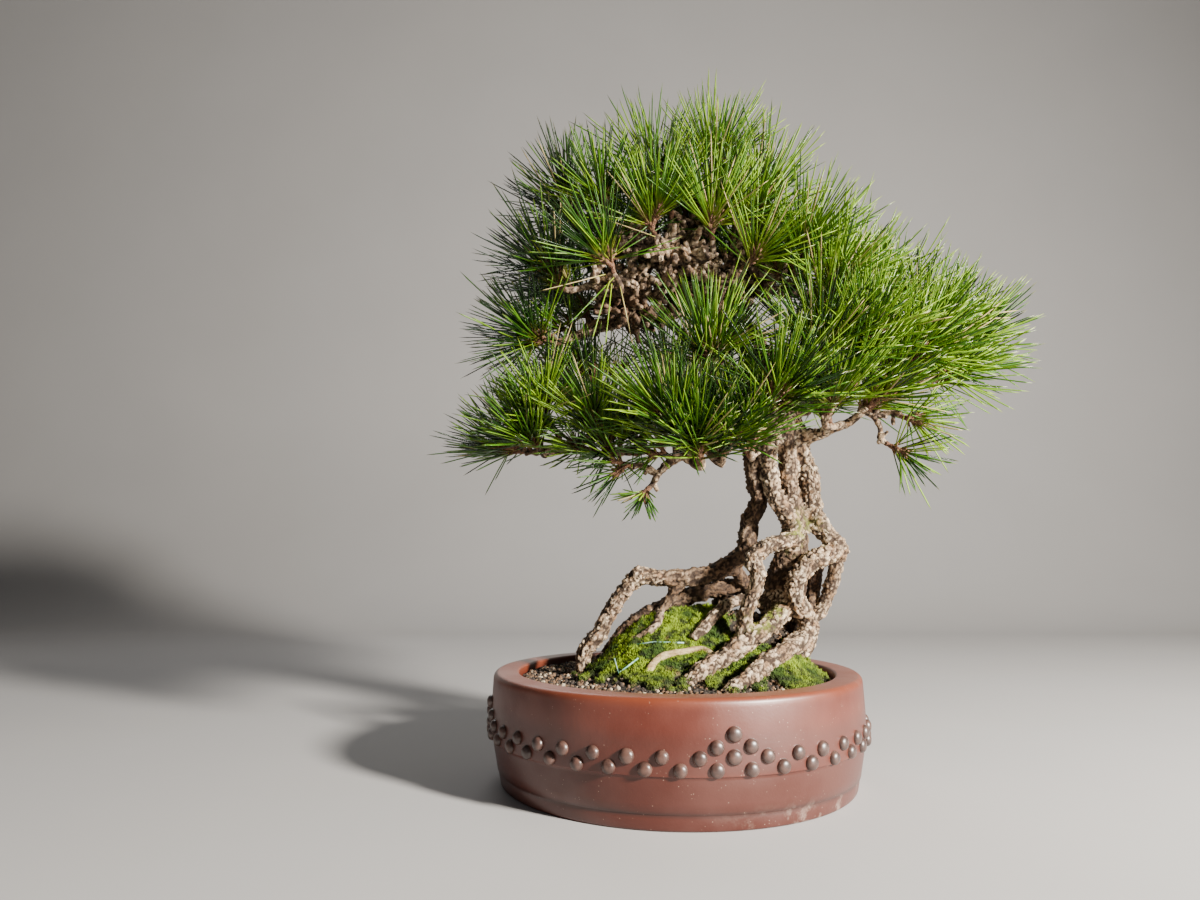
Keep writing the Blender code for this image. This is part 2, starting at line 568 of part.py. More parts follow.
def plan_sprays():
    """Needles of every spray, redrawn until clear of the wood and of every other spray."""
    blocks = []
    for route in list(ROOTS.values()) + list(BRANCHES.values()):
        for a, b in zip(route, route[1:]):
            blocks.append((a[:3], b[:3], max(a[3], b[3]), -1))
    for a, b, radius in STUBS:
        blocks.append((a, b, radius, -1))
    for i, row in enumerate(SPRAYS):
        route, radii = twig_route(np.array(row[:3], float), unit(row[3:]))
        for k in range(len(route) - 1):
            blocks.append((route[k], route[k + 1], radii[k], -1))
        for start, end in shoots_of(i):
            blocks.append((start, end, SHOOT_R, i))
    starts = np.array([b[0] for b in blocks], float)
    ends = np.array([b[1] for b in blocks], float)
    radii = np.array([b[2] for b in blocks], float)
    owner = np.array([b[3] for b in blocks])
    planned = []
    for i in range(len(SPRAYS)):
        draw = np.random.default_rng(SEED * 5000 + i)
        shoots = shoots_of(i)
        needles = []
        for n in range(NEEDLES_EACH):
            start, end = shoots[n % 2]
            axis = unit(end - start)
            u = unit(np.cross(axis, (0.3, 0.5, 0.8)))
            v = np.cross(axis, u)
            for attempt in range(60):
                place = start + (end - start) * draw.uniform(0.45, 0.97)
                turn = 2.4 * n + draw.normal(0, 0.3 + 0.02 * attempt)
                open_angle = math.radians(draw.uniform(12, 56))
                length = draw.uniform(NEEDLE_MIN, NEEDLE_MAX) * SPRAY_SIZE.get(i + 1, 1.0)
                way = axis * math.cos(open_angle)
                way = way + (u * math.cos(turn) + v * math.sin(turn)) * math.sin(open_angle)
                way = unit(way + np.array([0, 0, 0.22]))
                tip = place + way * length
                clear = segment_distance(place, tip, starts, ends) - radii - NEEDLE_R
                own = owner == i
                if clear[~own].min() < 0.8:
                    continue
                if needles:
                    mine = segment_distance(place + way * 8, tip,
                                            np.array([m[0] + (m[1] - m[0]) * 0.12 for m in needles]),
                                            np.array([m[1] for m in needles]))
                    if mine.min() < 2.0:
                        continue
                needles.append((place, tip))
                break
        planned.append(needles)
        starts = np.vstack([starts] + [m[0] for m in needles])
        ends = np.vstack([ends] + [m[1] for m in needles])
        radii = np.append(radii, [NEEDLE_R] * len(needles))
        owner = np.append(owner, [i] * len(needles))
    return planned


def make_wood(look):
    """Roots, trunk, branches, stubs and twigs: one body, as it grew."""
    parts = []
    for name, route in ROOTS.items():
        parts.append(tube(name, [p[:3] for p in route], [p[3] for p in route],
                          root_sides(route)))
    for name, route in BRANCHES.items():
        sides = 7 if name == "trunk" else 5
        parts.append(tube(name, [p[:3] for p in route], [p[3] for p in route], sides, turn=0.2))
    for i, (a, b, radius) in enumerate(STUBS):
        parts.append(tube("stub", [a, b], [radius, radius * 0.75], 4, turn=0.3 * i))
    for i, row in enumerate(SPRAYS):
        route, radii = twig_route(np.array(row[:3], float), unit(row[3:]))
        parts.append(tube("twig", route, radii, 3, turn=0.17 * i))
    trunk = next(p for p in parts if p.name.startswith("trunk"))
    parts.remove(trunk)
    trunk.name = "tree_wood"
    combine(trunk, parts, "UNION", "MANIFOLD")
    largest_body(trunk)
    trunk.data.materials.clear()
    trunk.data.materials.append(look)
    return trunk


def needle(start, tip):
    """One needle: three sides that run out to a point."""
    start, tip = Vector(start), Vector(tip)
    ahead = (tip - start).normalized()
    across = ahead.cross(Vector((0.31, 0.83, 0.46))).normalized()
    up = ahead.cross(across)
    bm = bmesh.new()
    point = bm.verts.new(tip)
    ring = [bm.verts.new(start + (across * math.cos(a) + up * math.sin(a)) * NEEDLE_R)
            for a in (2 * math.pi * k / 3 for k in range(3))]
    bm.faces.new(ring[::-1])
    for k in range(3):
        bm.faces.new((ring[k], ring[k - 2], point))
    return add_object("needle", bm)


def make_sprays(look):
    """Each spray: a forked slim shoot with three-sided needles standing out of it."""
    for i, needles in enumerate(plan_sprays()):
        shoots = shoots_of(i)
        base, heading = shoots[0][0], unit(SPRAYS[i][3:])
        core = tube("needle_spray_%02d" % (i + 1), [base, base + 3 * heading, shoots[0][1]],
                    [2.4, 2.3, 1.9], 4, look=look, turn=0.2)
        fork = tube("fork", shoots[1], [2.0, 1.8], 3, turn=0.6)
        parts = [fork]
        for start, tip in needles:
            parts.append(needle(start, tip))
        combine(core, parts, "UNION", "EXACT")
        largest_body(core)


def make_wires(look):
    for name, route in WIRES.items():
        tube(name, route, [WIRE_R] * len(route), 5, look=look)


def clear_scene():
    for obj in list(bpy.data.objects):
        bpy.data.objects.remove(obj)


def main():
    clear_scene()
    make_pot(material("stoneware", (0.20, 0.065, 0.04), 0.38))
    make_screens(material("screen_plastic", (0.02, 0.02, 0.02), 0.6))
    make_soil(material("soil", (0.06, 0.045, 0.03), 0.95))
    make_moss(material("moss", (0.10, 0.20, 0.02), 0.9))
    make_wood(material("bark", (0.30, 0.22, 0.15), 0.85))
    make_sprays(material("needles", (0.10, 0.24, 0.04), 0.45))
    make_wires(material("wire", (0.35, 0.50, 0.45), 0.5))


main()
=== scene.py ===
"""Exposed-root black pine bonsai in a round studded stoneware pot: the finished look.

Metres, +Z up, origin in the middle of the pot's underside. Route points are in millimetres.
"""
import math

import bpy
import numpy as np
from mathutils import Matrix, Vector
from mathutils.kdtree import KDTree


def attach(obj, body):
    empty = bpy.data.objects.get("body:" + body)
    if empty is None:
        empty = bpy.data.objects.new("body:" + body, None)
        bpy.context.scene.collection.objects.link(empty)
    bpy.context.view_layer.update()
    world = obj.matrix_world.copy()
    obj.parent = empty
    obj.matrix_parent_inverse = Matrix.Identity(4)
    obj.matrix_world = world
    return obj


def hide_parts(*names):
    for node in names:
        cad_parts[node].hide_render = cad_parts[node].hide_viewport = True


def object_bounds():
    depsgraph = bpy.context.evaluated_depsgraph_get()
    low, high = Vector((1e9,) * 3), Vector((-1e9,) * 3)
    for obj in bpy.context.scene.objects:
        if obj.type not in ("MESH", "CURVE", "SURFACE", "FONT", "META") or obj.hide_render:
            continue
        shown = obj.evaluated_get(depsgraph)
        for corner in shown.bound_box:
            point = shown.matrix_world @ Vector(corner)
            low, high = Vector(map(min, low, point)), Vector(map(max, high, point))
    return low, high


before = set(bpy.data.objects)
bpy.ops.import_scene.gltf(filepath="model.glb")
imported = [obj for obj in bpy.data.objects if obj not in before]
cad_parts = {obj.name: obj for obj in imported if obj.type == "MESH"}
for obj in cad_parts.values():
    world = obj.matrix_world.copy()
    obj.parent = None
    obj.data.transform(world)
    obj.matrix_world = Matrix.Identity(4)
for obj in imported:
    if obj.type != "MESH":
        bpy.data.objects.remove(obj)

cad_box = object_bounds()
BOX_LOW, BOX_HIGH = (np.array(corner, float) * 1000 for corner in cad_box)


# Camera, floor and light.
# A camera at the photograph's height and angle, a plain pale floor that sweeps up into a wall, and a
# warm key light from the right with two weak ones that fill the shadows.

MM = 0.001

camera_data = bpy.data.cameras.new("camera")
camera_data.lens = 24.6
camera_data.sensor_width = 36.0
camera_data.clip_start = 0.01
camera = bpy.data.objects.new("camera", camera_data)
camera.location = (-0.073, -0.824, 0.207)
camera.rotation_euler = (math.radians(97.55), 0, 0)
bpy.context.scene.collection.objects.link(camera)
bpy.context.scene.camera = camera


def join_arrays(parts):
    """Stacks (verts, faces) pairs into one, moving each part's face numbers past the vertices before it."""
    verts, faces, offset = [], [], 0
    for part_verts, part_faces in parts:
        verts.append(part_verts)
        faces.append(part_faces + offset)
        offset += len(part_verts)
    return np.vstack(verts), np.vstack(faces)


def make_mesh(name, verts, faces, material, smooth=True, **attributes):
    """One mesh from points in millimetres and faces of four corners, or three where the last repeats."""
    faces = np.asarray(faces, np.int32)
    if faces.shape[1] == 4:
        counts = np.where(faces[:, 3] == faces[:, 2], 3, 4)
        corners = faces.ravel()[np.column_stack([np.ones((len(faces), 3), bool), counts == 4]).ravel()]
    else:
        counts = np.full(len(faces), 3)
        corners = faces.ravel()
    mesh = bpy.data.meshes.new(name)
    mesh.vertices.add(len(verts))
    mesh.vertices.foreach_set("co", (np.asarray(verts, np.float64) * MM).astype(np.float32).ravel())
    mesh.loops.add(len(corners))
    mesh.loops.foreach_set("vertex_index", corners.astype(np.int32))
    mesh.polygons.add(len(faces))
    mesh.polygons.foreach_set("loop_start", np.concatenate([[0], np.cumsum(counts)[:-1]]).astype(np.int32))
    mesh.polygons.foreach_set("loop_total", counts.astype(np.int32))
    mesh.update(calc_edges=True)
    for key, values in attributes.items():
        layer = mesh.attributes.new(key, "FLOAT", "POINT")
        layer.data.foreach_set("value", np.asarray(values, np.float32))
    if smooth:
        mesh.shade_smooth()
    mesh.materials.append(material)
    made = bpy.data.objects.new(name, mesh)
    bpy.context.scene.collection.objects.link(made)
    return made


class Value:
    """A shader socket that takes part in Python arithmetic by making Math nodes."""

    def __init__(self, shader, socket):
        self.shader = shader
        self.socket = socket

    def math(self, operation, *others):
        return self.shader.math(operation, self, *others)

    __add__ = __radd__ = lambda self, other: self.math("ADD", other)
    __mul__ = __rmul__ = lambda self, other: self.math("MULTIPLY", other)
    __sub__ = lambda self, other: self.math("SUBTRACT", other)
    __rsub__ = lambda self, other: self.shader.math("SUBTRACT", other, self)

    def smooth(self, low, high):
        """0 below low, 1 above high, and a smooth step between."""
        made = self.shader.node("ShaderNodeMapRange", {"Value": self, "From Min": low, "From Max": high},
                                interpolation_type="SMOOTHSTEP")
        return Value(self.shader, made.outputs["Result"])


class Shader:
    """A material and the few node calls that its surface needs."""

    def __init__(self, name, **settings):
        self.material = bpy.data.materials.new(name)
        self.material.use_nodes = True
        self.tree = self.material.node_tree
        self.surface = self.tree.nodes["Principled BSDF"]
        self.point = Value(self, self.node("ShaderNodeTexCoord", {}).outputs["Object"])
        for key, value in settings.items():
            self.set(key.replace("_", " ").title(), value)

    def node(self, kind, inputs, **properties):
        made = self.tree.nodes.new(kind)
        for key, value in properties.items():
            setattr(made, key, value)
        for key, value in inputs.items():
            if isinstance(value, Value):
                self.tree.links.new(value.socket, made.inputs[key])
            else:
                made.inputs[key].default_value = value
        return made

    def math(self, operation, *values):
        made = self.node("ShaderNodeMath", dict(enumerate(values)), operation=operation)
        return Value(self, made.outputs[0])

    def set(self, key, value):
        if isinstance(value, Value):
            self.tree.links.new(value.socket, self.surface.inputs[key])
        else:
            self.surface.inputs[key].default_value = (*value, 1) if isinstance(value, tuple) else value

    def attribute(self, name):
        return Value(self, self.node("ShaderNodeAttribute", {}, attribute_name=name).outputs["Fac"])

    def stretched(self, x, y, z):
        made = self.node("ShaderNodeVectorMath", {0: self.point, 1: (x, y, z)}, operation="MULTIPLY")
        return Value(self, made.outputs[0])

    def noise(self, scale, detail=3.0, roughness=0.55, at=None):
        made = self.node("ShaderNodeTexNoise", {"Vector": at or self.point, "Scale": scale, "Detail": detail,
                                                "Roughness": roughness})
        return Value(self, made.outputs["Fac"])

    def cells(self, scale, feature="F1", at=None):
        inputs = {"Vector": at or self.point, "Scale": scale}
        made = self.node("ShaderNodeTexVoronoi", inputs, feature=feature)
        return Value(self, made.outputs["Distance"])

    def axis(self, name):
        return Value(self, self.node("ShaderNodeSeparateXYZ", {0: self.point}).outputs[name])

    def mix(self, share, first, second):
        """A colour between two colours, each a Value or three numbers."""
        made = self.node("ShaderNodeMix", {}, data_type="RGBA")
        for slot, value in ((0, share), (6, first), (7, second)):
            if isinstance(value, Value):
                self.tree.links.new(value.socket, made.inputs[slot])
            else:
                made.inputs[slot].default_value = (*value, 1) if slot else value
        return Value(self, made.outputs[2])

    def bump(self, height, distance, strength=1.0):
        made = self.node("ShaderNodeBump", {"Height": height, "Distance": distance, "Strength": strength})
        self.set("Normal", Value(self, made.outputs[0]))


floor_look = Shader("studio_floor", roughness=0.9)
floor_look.set("Base Color", floor_look.mix(floor_look.noise(3.0), (0.46, 0.45, 0.445), (0.50, 0.49, 0.485)))
sweep = [(-2500, 0), (1500, 0)]
sweep += [(1500 + 900 * math.sin(a), 900 - 900 * math.cos(a)) for a in np.linspace(0.1, math.pi / 2, 14)]
sweep += [(2400, 3200)]
floor_points = np.array([(x, y, z) for y, z in sweep for x in (-4000, 4000)], float)
floor_faces = np.array([(2 * i, 2 * i + 1, 2 * i + 3, 2 * i + 2) for i in range(len(sweep) - 1)])
floor = make_mesh("studio_floor", floor_points, floor_faces, floor_look.material)


def add_light(name, place, target, size, power, colour):
    light = bpy.data.lights.new(name, "AREA")
    light.shape = "DISK"
    light.size = size
    light.energy = power
    light.color = colour
    made = bpy.data.objects.new(name, light)
    made.location = place
    made.rotation_euler = (Vector(target) - Vector(place)).to_track_quat("-Z", "Y").to_euler()
    bpy.context.scene.collection.objects.link(made)


add_light("key", (1.55, -1.40, 0.92), (0.05, 0, 0.35), 0.26, 228, (1.0, 0.945, 0.86))
add_light("fill", (-1.7, -1.3, 0.9), (0.05, 0, 0.35), 1.6, 1.4, (0.92, 0.95, 1.0))
add_light("back", (-0.5, 1.4, 1.6), (0.05, 0, 0.45), 1.0, 8, (1.0, 1.0, 1.0))
world = bpy.data.worlds.new("world")
bpy.context.scene.world = world
world.use_nodes = True
world.node_tree.nodes["Background"].inputs["Color"].default_value = (0.80, 0.82, 0.86, 1)
world.node_tree.nodes["Background"].inputs["Strength"].default_value = 0.06


# Pot.
# Red-brown unglazed stoneware, pressed and turned: thick rounded rim, a lower wall set back under a
# ledge, a foot band, and domed bosses stuck on in two rows with a diamond at each quarter.

POT_HEIGHT, RIM_OUTER_R, RIM_INNER_R = 100.5, 175.0, 151.4
BARREL_R, LEDGE_Z, FOOT_R, FOOT_Z, FLOOR_Z = 177.0, 42.6, 168.0, 13.0, 9.0
STUD_R, STUD_PROUD, STUD_PITCH = 5.95, 4.5, 9.0
FRONT_DIAMOND = -80.4


def lattice(cell, seed):
    """A repeatable number from 0 to 1 for each whole-number cell (rows of three)."""
    cell = cell.astype(np.int64)
    mixed = (cell[..., 0] * 73856093) ^ (cell[..., 1] * 19349663) ^ (cell[..., 2] * 83492791)
    mixed = mixed ^ (seed * 2654435761)
    mixed = (mixed ^ (mixed >> 13)) * 1274126177 & 0x7FFFFFFF
    mixed = (mixed ^ (mixed >> 15)) * 668265263 & 0x7FFFFFFF
    return ((mixed ^ (mixed >> 11)) & 0xFFFFF) / float(0xFFFFF)


def noise3(points, size, seed=0):
    """Smooth noise from -1 to 1: lattice numbers blended across each cell of the given size."""
    scaled = np.asarray(points, float) / size
    base = np.floor(scaled)
    part = scaled - base
    part = part * part * (3 - 2 * part)
    total = 0.0
    for i in (0, 1):
        for j in (0, 1):
            for k in (0, 1):
                near = np.abs(1 - np.array((i, j, k)) - part)
                total = total + near[..., 0] * near[..., 1] * near[..., 2] * lattice(base + (i, j, k), seed)
    return 2 * total - 1


def ring_faces(rings, sides):
    """Faces of a closed surface of stacked rings, whose two end points are numbered after the rings."""
    i, k = np.meshgrid(np.arange(rings - 1), np.arange(sides), indexing="ij")
    j = (k + 1) % sides
    corners = [i * sides + k, i * sides + j, (i + 1) * sides + j, (i + 1) * sides + k]
    k, j = k[0], j[0]
    first, last = np.full(sides, rings * sides), np.full(sides, rings * sides + 1)
    top = (rings - 1) * sides
    caps = [np.stack([j, k, first, first], -1), np.stack([top + k, top + j, last, last], -1)]
    return np.vstack([np.stack(corners, -1).reshape(-1, 4)] + caps)


def turned(profile, segments):
    """A solid of revolution about Z from (radius, z) rows that start and end on the axis."""
    profile = np.array(profile, float)
    angle = 2 * np.pi * np.arange(segments) / segments
    inner = profile[1:-1]
    verts = np.stack([inner[:, 0, None] * np.cos(angle), inner[:, 0, None] * np.sin(angle),
                      np.repeat(inner[:, 1, None], segments, 1)], -1).reshape(-1, 3)
    ends = [(0, 0, profile[0, 1]), (0, 0, profile[-1, 1])]
    return np.vstack([verts, ends]), ring_faces(len(inner), segments)


def arc(centre, radius, start, end, count):
    """Points of a fillet in the (radius, z) plane, angles in degrees."""
    return [(centre[0] + radius * math.cos(math.radians(a)), centre[1] + radius * math.sin(math.radians(a)))
            for a in np.linspace(start, end, count)]


outer = [(0, 0), (120, 0), (FOOT_R - 2.5, 0)] + arc((FOOT_R - 2.5, 2.5), 2.5, -90, 0, 5)[1:]
outer += [(FOOT_R + 1.6, FOOT_Z - 2), (FOOT_R + 1.2, FOOT_Z - 0.6), (FOOT_R + 1.5, FOOT_Z)]
outer += [(FOOT_R + 2.8, FOOT_Z + 1), (FOOT_R + 4.2, 22), (FOOT_R + 5.9, 31)]
outer += [(BARREL_R - 1.9, LEDGE_Z - 3), (BARREL_R - 1.9, LEDGE_Z - 0.8)]
outer += arc((BARREL_R - 1.2, LEDGE_Z + 0.7), 1.2, -90, 0, 5)
outer += [(BARREL_R + 0.1, 52), (BARREL_R, 66), (BARREL_R - 0.5, 80), (RIM_OUTER_R + 0.8, POT_HEIGHT - 7)]
outer += arc((RIM_OUTER_R - 4.6, POT_HEIGHT - 5.2), 5.2, 12, 90, 9)
outer += [(RIM_OUTER_R - 12, POT_HEIGHT + 0.05)]
outer += arc((RIM_INNER_R + 2.4, POT_HEIGHT - 2.4), 2.4, 90, 180, 7)
outer += [(RIM_INNER_R - 0.2, 80), (RIM_INNER_R - 1, FLOOR_Z + 5), (RIM_INNER_R - 6, FLOOR_Z), (0, FLOOR_Z)]
pot_verts, pot_faces = turned(outer, 240)
radius = np.hypot(pot_verts[:, 0], pot_verts[:, 1])
wobble = 0.25 * noise3(pot_verts, 46, 3) * (radius > 100)
pot_verts[:, :2] *= (1 + wobble / np.maximum(radius, 1))[:, None]

# One domed boss, from its sunk root to its crown: radius and distance out from the wall.
dome = [(0, -2.0), (STUD_R, -2.0), (STUD_R, 0.4), (5.75, 1.5), (5.1, 2.7), (4.0, 3.6), (2.6, 4.2)]
boss_verts, boss_faces = turned(dome + [(1.2, 4.45), (0, STUD_PROUD)], 20)
spots = [(FRONT_DIAMOND + STUD_PITCH * i, 56.8) for i in range(40)]
spots += [(FRONT_DIAMOND + STUD_PITCH * (i + 0.5), 47.6) for i in range(40)]
for quarter in range(4):
    middle = FRONT_DIAMOND + 90 * quarter
    spots += [(middle - 4.5, 64.8), (middle + 4.5, 64.8), (middle, 74.1)]
draw = np.random.default_rng(11)
boss_parts = []
for degrees, height in spots:
    a = math.radians(degrees + draw.normal(0, 0.12))
    out = np.array([math.cos(a), math.sin(a), 0])
    side = np.array([-math.sin(a), math.cos(a), 0])
    size = draw.normal(1, 0.025)
    centre = out * BARREL_R + np.array([0, 0, height + draw.normal(0, 0.25)])
    placed = centre + size * (boss_verts[:, :1] * side + boss_verts[:, 1:2] * np.array([0, 0, 1.0])) \
        + boss_verts[:, 2:] * out
    boss_parts.append((placed, boss_faces))
all_bosses = join_arrays(boss_parts)
verts, faces = join_arrays([(pot_verts, pot_faces), all_bosses])
is_boss = np.concatenate([np.zeros(len(pot_verts)), np.ones(len(all_bosses[0]))])

clay = Shader("stoneware", roughness=0.4)
height, blotch = clay.axis("Z"), clay.noise(9.0, 4.0)
streak = clay.noise(1.0, 4.0, 0.6, clay.stretched(22, 22, 70))
fine = clay.noise(420.0, 3.0)
band = height.smooth(0.080, 0.066) * height.smooth(0.040, 0.046)
body_tone = clay.mix(blotch.smooth(0.35, 0.70), (0.092, 0.016, 0.008), (0.142, 0.027, 0.012))
body_tone = clay.mix(height.smooth(0.090, 0.102) * 0.75, body_tone, (0.220, 0.052, 0.021))
body_tone = clay.mix(band * (0.2 + 0.4 * streak), body_tone, (0.058, 0.019, 0.014))
body_tone = clay.mix(height.smooth(0.0425, 0.040) * 0.55, body_tone, (0.056, 0.014, 0.009))
# Painted shade: a dark line in the crease where the foot band meets the wall above it.
painted_crease_shade = height.smooth(0.0165, 0.0135) * height.smooth(0.0095, 0.0125)
body_tone = clay.mix(painted_crease_shade * 0.55, body_tone, (0.030, 0.010, 0.007))
# Paler patches on the right: low on the foot band, and high on the wall as a painted sheen from the key
# light.
side_x = clay.axis("X")
pale_low_right = clay.noise(60.0, 5.0, 0.7).smooth(0.50, 0.66) * height.smooth(0.022, 0.004)
painted_sheen_high = clay.noise(45.0, 5.0, 0.7).smooth(0.54, 0.70) * height.smooth(0.060, 0.085)
pale_low_and_painted_sheen = pale_low_right * side_x.smooth(0.0, 0.10) * 0.55 + painted_sheen_high * side_x.smooth(0.08, 0.16) * 0.12
body_tone = clay.mix(pale_low_and_painted_sheen, body_tone, (0.38, 0.28, 0.22))
speck = clay.cells(320.0).smooth(0.16, 0.10) * clay.noise(90.0).smooth(0.52, 0.60)
body_tone = clay.mix(speck * 0.5, body_tone, (0.50, 0.34, 0.25))
boss_tone = clay.mix(clay.noise(160.0).smooth(0.35, 0.7), (0.050, 0.026, 0.021), (0.115, 0.060, 0.046))
clay.set("Base Color", clay.mix(clay.attribute("boss"), body_tone, boss_tone))
dullness = 0.12 * blotch.smooth(0.30, 0.72) + 0.10 * streak - 0.10 * clay.attribute("boss")
clay.set("Roughness", 0.32 + dullness)
clay.set("Coat Weight", 0.10 + 0.55 * blotch.smooth(0.36, 0.62))
clay.set("Coat Roughness", 0.40)
clay.set("Coat IOR", 1.7)
clay.bump(fine * 0.6 + clay.noise(70.0, 2.0) * 0.8, 0.00022)
pot = make_mesh("pot_stoneware", verts, faces, clay.material, boss=is_boss)
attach(pot, "root")
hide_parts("pot")


# Drain screens.
# Black moulded plastic squares with open holes, laid over the drain holes before the soil goes in. The
# solids' own shapes stay, and only get their look here.

plastic = Shader("screen_plastic", roughness=0.6)
plastic.set("Base Color", plastic.mix(plastic.noise(220.0), (0.014, 0.014, 0.014), (0.03, 0.03, 0.03)))
plastic.bump(plastic.cells(900.0), 0.0002)
for number in (1, 2, 3):
    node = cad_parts["drain_screen_%d" % number]
    node.data.materials.clear()
    node.data.materials.append(plastic.material)


# Soil.
# Sieved grit of lava, clay and pumice, heaped under the roots and level near the rim, with larger pale
# grains showing where the moss has not spread.

SOIL_RIM_Z, MOUND_HEIGHT = 93.0, 62.0
MOUND_X, MOUND_Y, MOUND_HALF_X, MOUND_HALF_Y = 38.0, 20.0, 104.0, 64.0
MOSS = [((-14, -18), 70, 60), ((66, -52), 46, 24), ((112, -52), 24, 26)]


def ground(x, y):
    """Height of the soil: a long mound that fades to the level soil near the rim."""
    t = np.clip((np.hypot(x, y) - 112) / 38, 0, 1)
    fade = 1 - t * t * (3 - 2 * t)
    mound = np.exp(-(np.abs(x - MOUND_X) / MOUND_HALF_X) ** 4 - ((y - MOUND_Y) / MOUND_HALF_Y) ** 2)
    return SOIL_RIM_Z + MOUND_HEIGHT * mound * fade


def moss_share(x, y, row):
    """0 at the middle of a moss patch, 1 on its wavy outline, more outside."""
    (cx, cy), reach_x, reach_y = row
    a = np.arctan2((y - cy) / reach_y, (x - cx) / reach_x)
    wave = 1 + 0.07 * np.sin(3 * a + cx) + 0.05 * np.sin(5 * a)
    return np.hypot((x - cx) / reach_x, (y - cy) / reach_y) / wave


def moss_cover(x, y):
    return np.min([moss_share(x, y, row) for row in MOSS], axis=0)


reach = RIM_INNER_R - 1.6
spread = np.linspace(0, 1, 100)[1:] ** 0.8
angle = 2 * np.pi * np.arange(200) / 200
x, y = spread[:, None] * reach * np.cos(angle), spread[:, None] * reach * np.sin(angle)
flat = np.stack([x, y, np.zeros_like(x)], -1)
z = ground(x, y) + 1.3 * noise3(flat, 5.0, 5) + 0.9 * noise3(flat, 2.6, 6) - 0.6
rows = [(0, FLOOR_Z + 0.3), (reach - 1, FLOOR_Z + 0.3), (reach, FLOOR_Z + 1)]
verts, faces = turned(rows + [(s * reach, 0) for s in spread[::-1]] + [(0, float(ground(0, 0)))], len(angle))
verts[2 * len(angle):-2, 2] = z[::-1].reshape(-1)
grit = Shader("soil", roughness=0.95)
tone = grit.mix(grit.cells(260.0).smooth(0.15, 0.75), (0.050, 0.034, 0.022), (0.012, 0.009, 0.007))
tone = grit.mix(grit.noise(120.0).smooth(0.60, 0.70) * 0.7, tone, (0.20, 0.135, 0.075))
grit.set("Base Color", tone)
grit.bump(grit.cells(420.0) + grit.noise(900.0) * 0.5, 0.0012)
soil = make_mesh("soil_mound", verts, faces, grit.material, smooth=False)
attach(soil, "root")
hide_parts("soil")


def unit(v):
    v = np.asarray(v, float)
    return v / np.maximum(np.linalg.norm(v, axis=-1, keepdims=True), 1e-12)


def scatter(template, faces, places, sizes, turns):
    """Copies of a small shape: template points scaled, turned by random frames and moved to each place."""
    shaped = template[None] * sizes[:, None, :]
    moved = np.einsum("nij,nkj->nki", turns, shaped) + places[:, None]
    count = len(template)
    all_faces = faces[None] + (np.arange(len(places)) * count)[:, None, None]
    return moved.reshape(-1, 3), all_faces.reshape(-1, faces.shape[1])


def random_turns(draw, count):
    """Random rotation matrices from normalised random quaternions."""
    w, x, y, z = unit(draw.normal(size=(count, 4))).T
    rows = [1 - 2 * (y * y + z * z), 2 * (x * y - z * w), 2 * (x * z + y * w),
            2 * (x * y + z * w), 1 - 2 * (x * x + z * z), 2 * (y * z - x * w),
            2 * (x * z - y * w), 2 * (y * z + x * w), 1 - 2 * (x * x + y * y)]
    return np.stack(rows, -1).reshape(-1, 3, 3)


GOLDEN = (1 + 5 ** 0.5) / 2
ball = unit(np.array([(0, a, b * GOLDEN) for a in (-1, 1) for b in (-1, 1)]
                     + [(a, b * GOLDEN, 0) for a in (-1, 1) for b in (-1, 1)]
                     + [(b * GOLDEN, 0, a) for a in (-1, 1) for b in (-1, 1)], float))
ball_faces = []
for i in range(12):
    for j in range(i + 1, 12):
        for k in range(j + 1, 12):
            if max(np.linalg.norm(ball[i] - ball[j]), np.linalg.norm(ball[j] - ball[k]),
                   np.linalg.norm(ball[i] - ball[k])) < 1.1:
                facing = np.dot(np.cross(ball[j] - ball[i], ball[k] - ball[i]), ball[i]) > 0
                ball_faces.append((i, j, k) if facing else (i, k, j))
ball_faces = np.array(ball_faces)

draw = np.random.default_rng(21)
GRAIN_TRIES, MOST_GRAINS = 9000, 3600
tries = draw.uniform(-148, 148, (GRAIN_TRIES, 2))
from_middle = np.hypot(tries[:, 0], tries[:, 1])
cover = moss_cover(tries[:, 0], tries[:, 1])
kept = draw.random(GRAIN_TRIES) < np.clip((from_middle - 60) / 90, 0.25, 1.0)
tries = tries[kept & (from_middle < 147.5) & (cover > 0.97)][:MOST_GRAINS]
count = len(tries)
grain_size = draw.uniform(1.0, 2.5, count)[:, None] * draw.uniform(0.75, 1.2, (count, 3))
places = np.column_stack([tries, ground(tries[:, 0], tries[:, 1]) + 0.2])
verts, faces = scatter(ball * draw.uniform(0.85, 1.15, (12, 1)), ball_faces, places, grain_size,
                       random_turns(draw, count))
kind = draw.random(count)
pale = np.where(kind > 0.87, 1.0, np.where(kind > 0.50, 0.45, 0.0)) + draw.uniform(-0.08, 0.08, count)
stone = Shader("soil_grains", roughness=0.9)
share = stone.attribute("pale")
tone = stone.mix(share.smooth(0.15, 0.40), (0.030, 0.022, 0.018), (0.17, 0.095, 0.05))
tone = stone.mix(share.smooth(0.60, 0.95), tone, (0.50, 0.40, 0.28))
stone.set("Base Color", stone.mix(stone.noise(700.0).smooth(0.45, 0.6) * 0.35, tone, (0.10, 0.07, 0.045)))
stone.bump(stone.noise(1200.0), 0.0005)
grains = make_mesh("soil_grains", verts, faces, stone.material, smooth=False, pale=np.repeat(pale, 12))
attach(grains, "root")


# Moss.
# A cushion moss grown over the top of the mound between the roots, bright where the light reaches it,
# thin and dark at its edges.

# Thin broken moss between the cushions and the rim: centre, reach along X and along Y.
THIN_MOSS = [((-18, -52), 84, 52), ((64, -72), 72, 44), ((120, -40), 24, 40)]


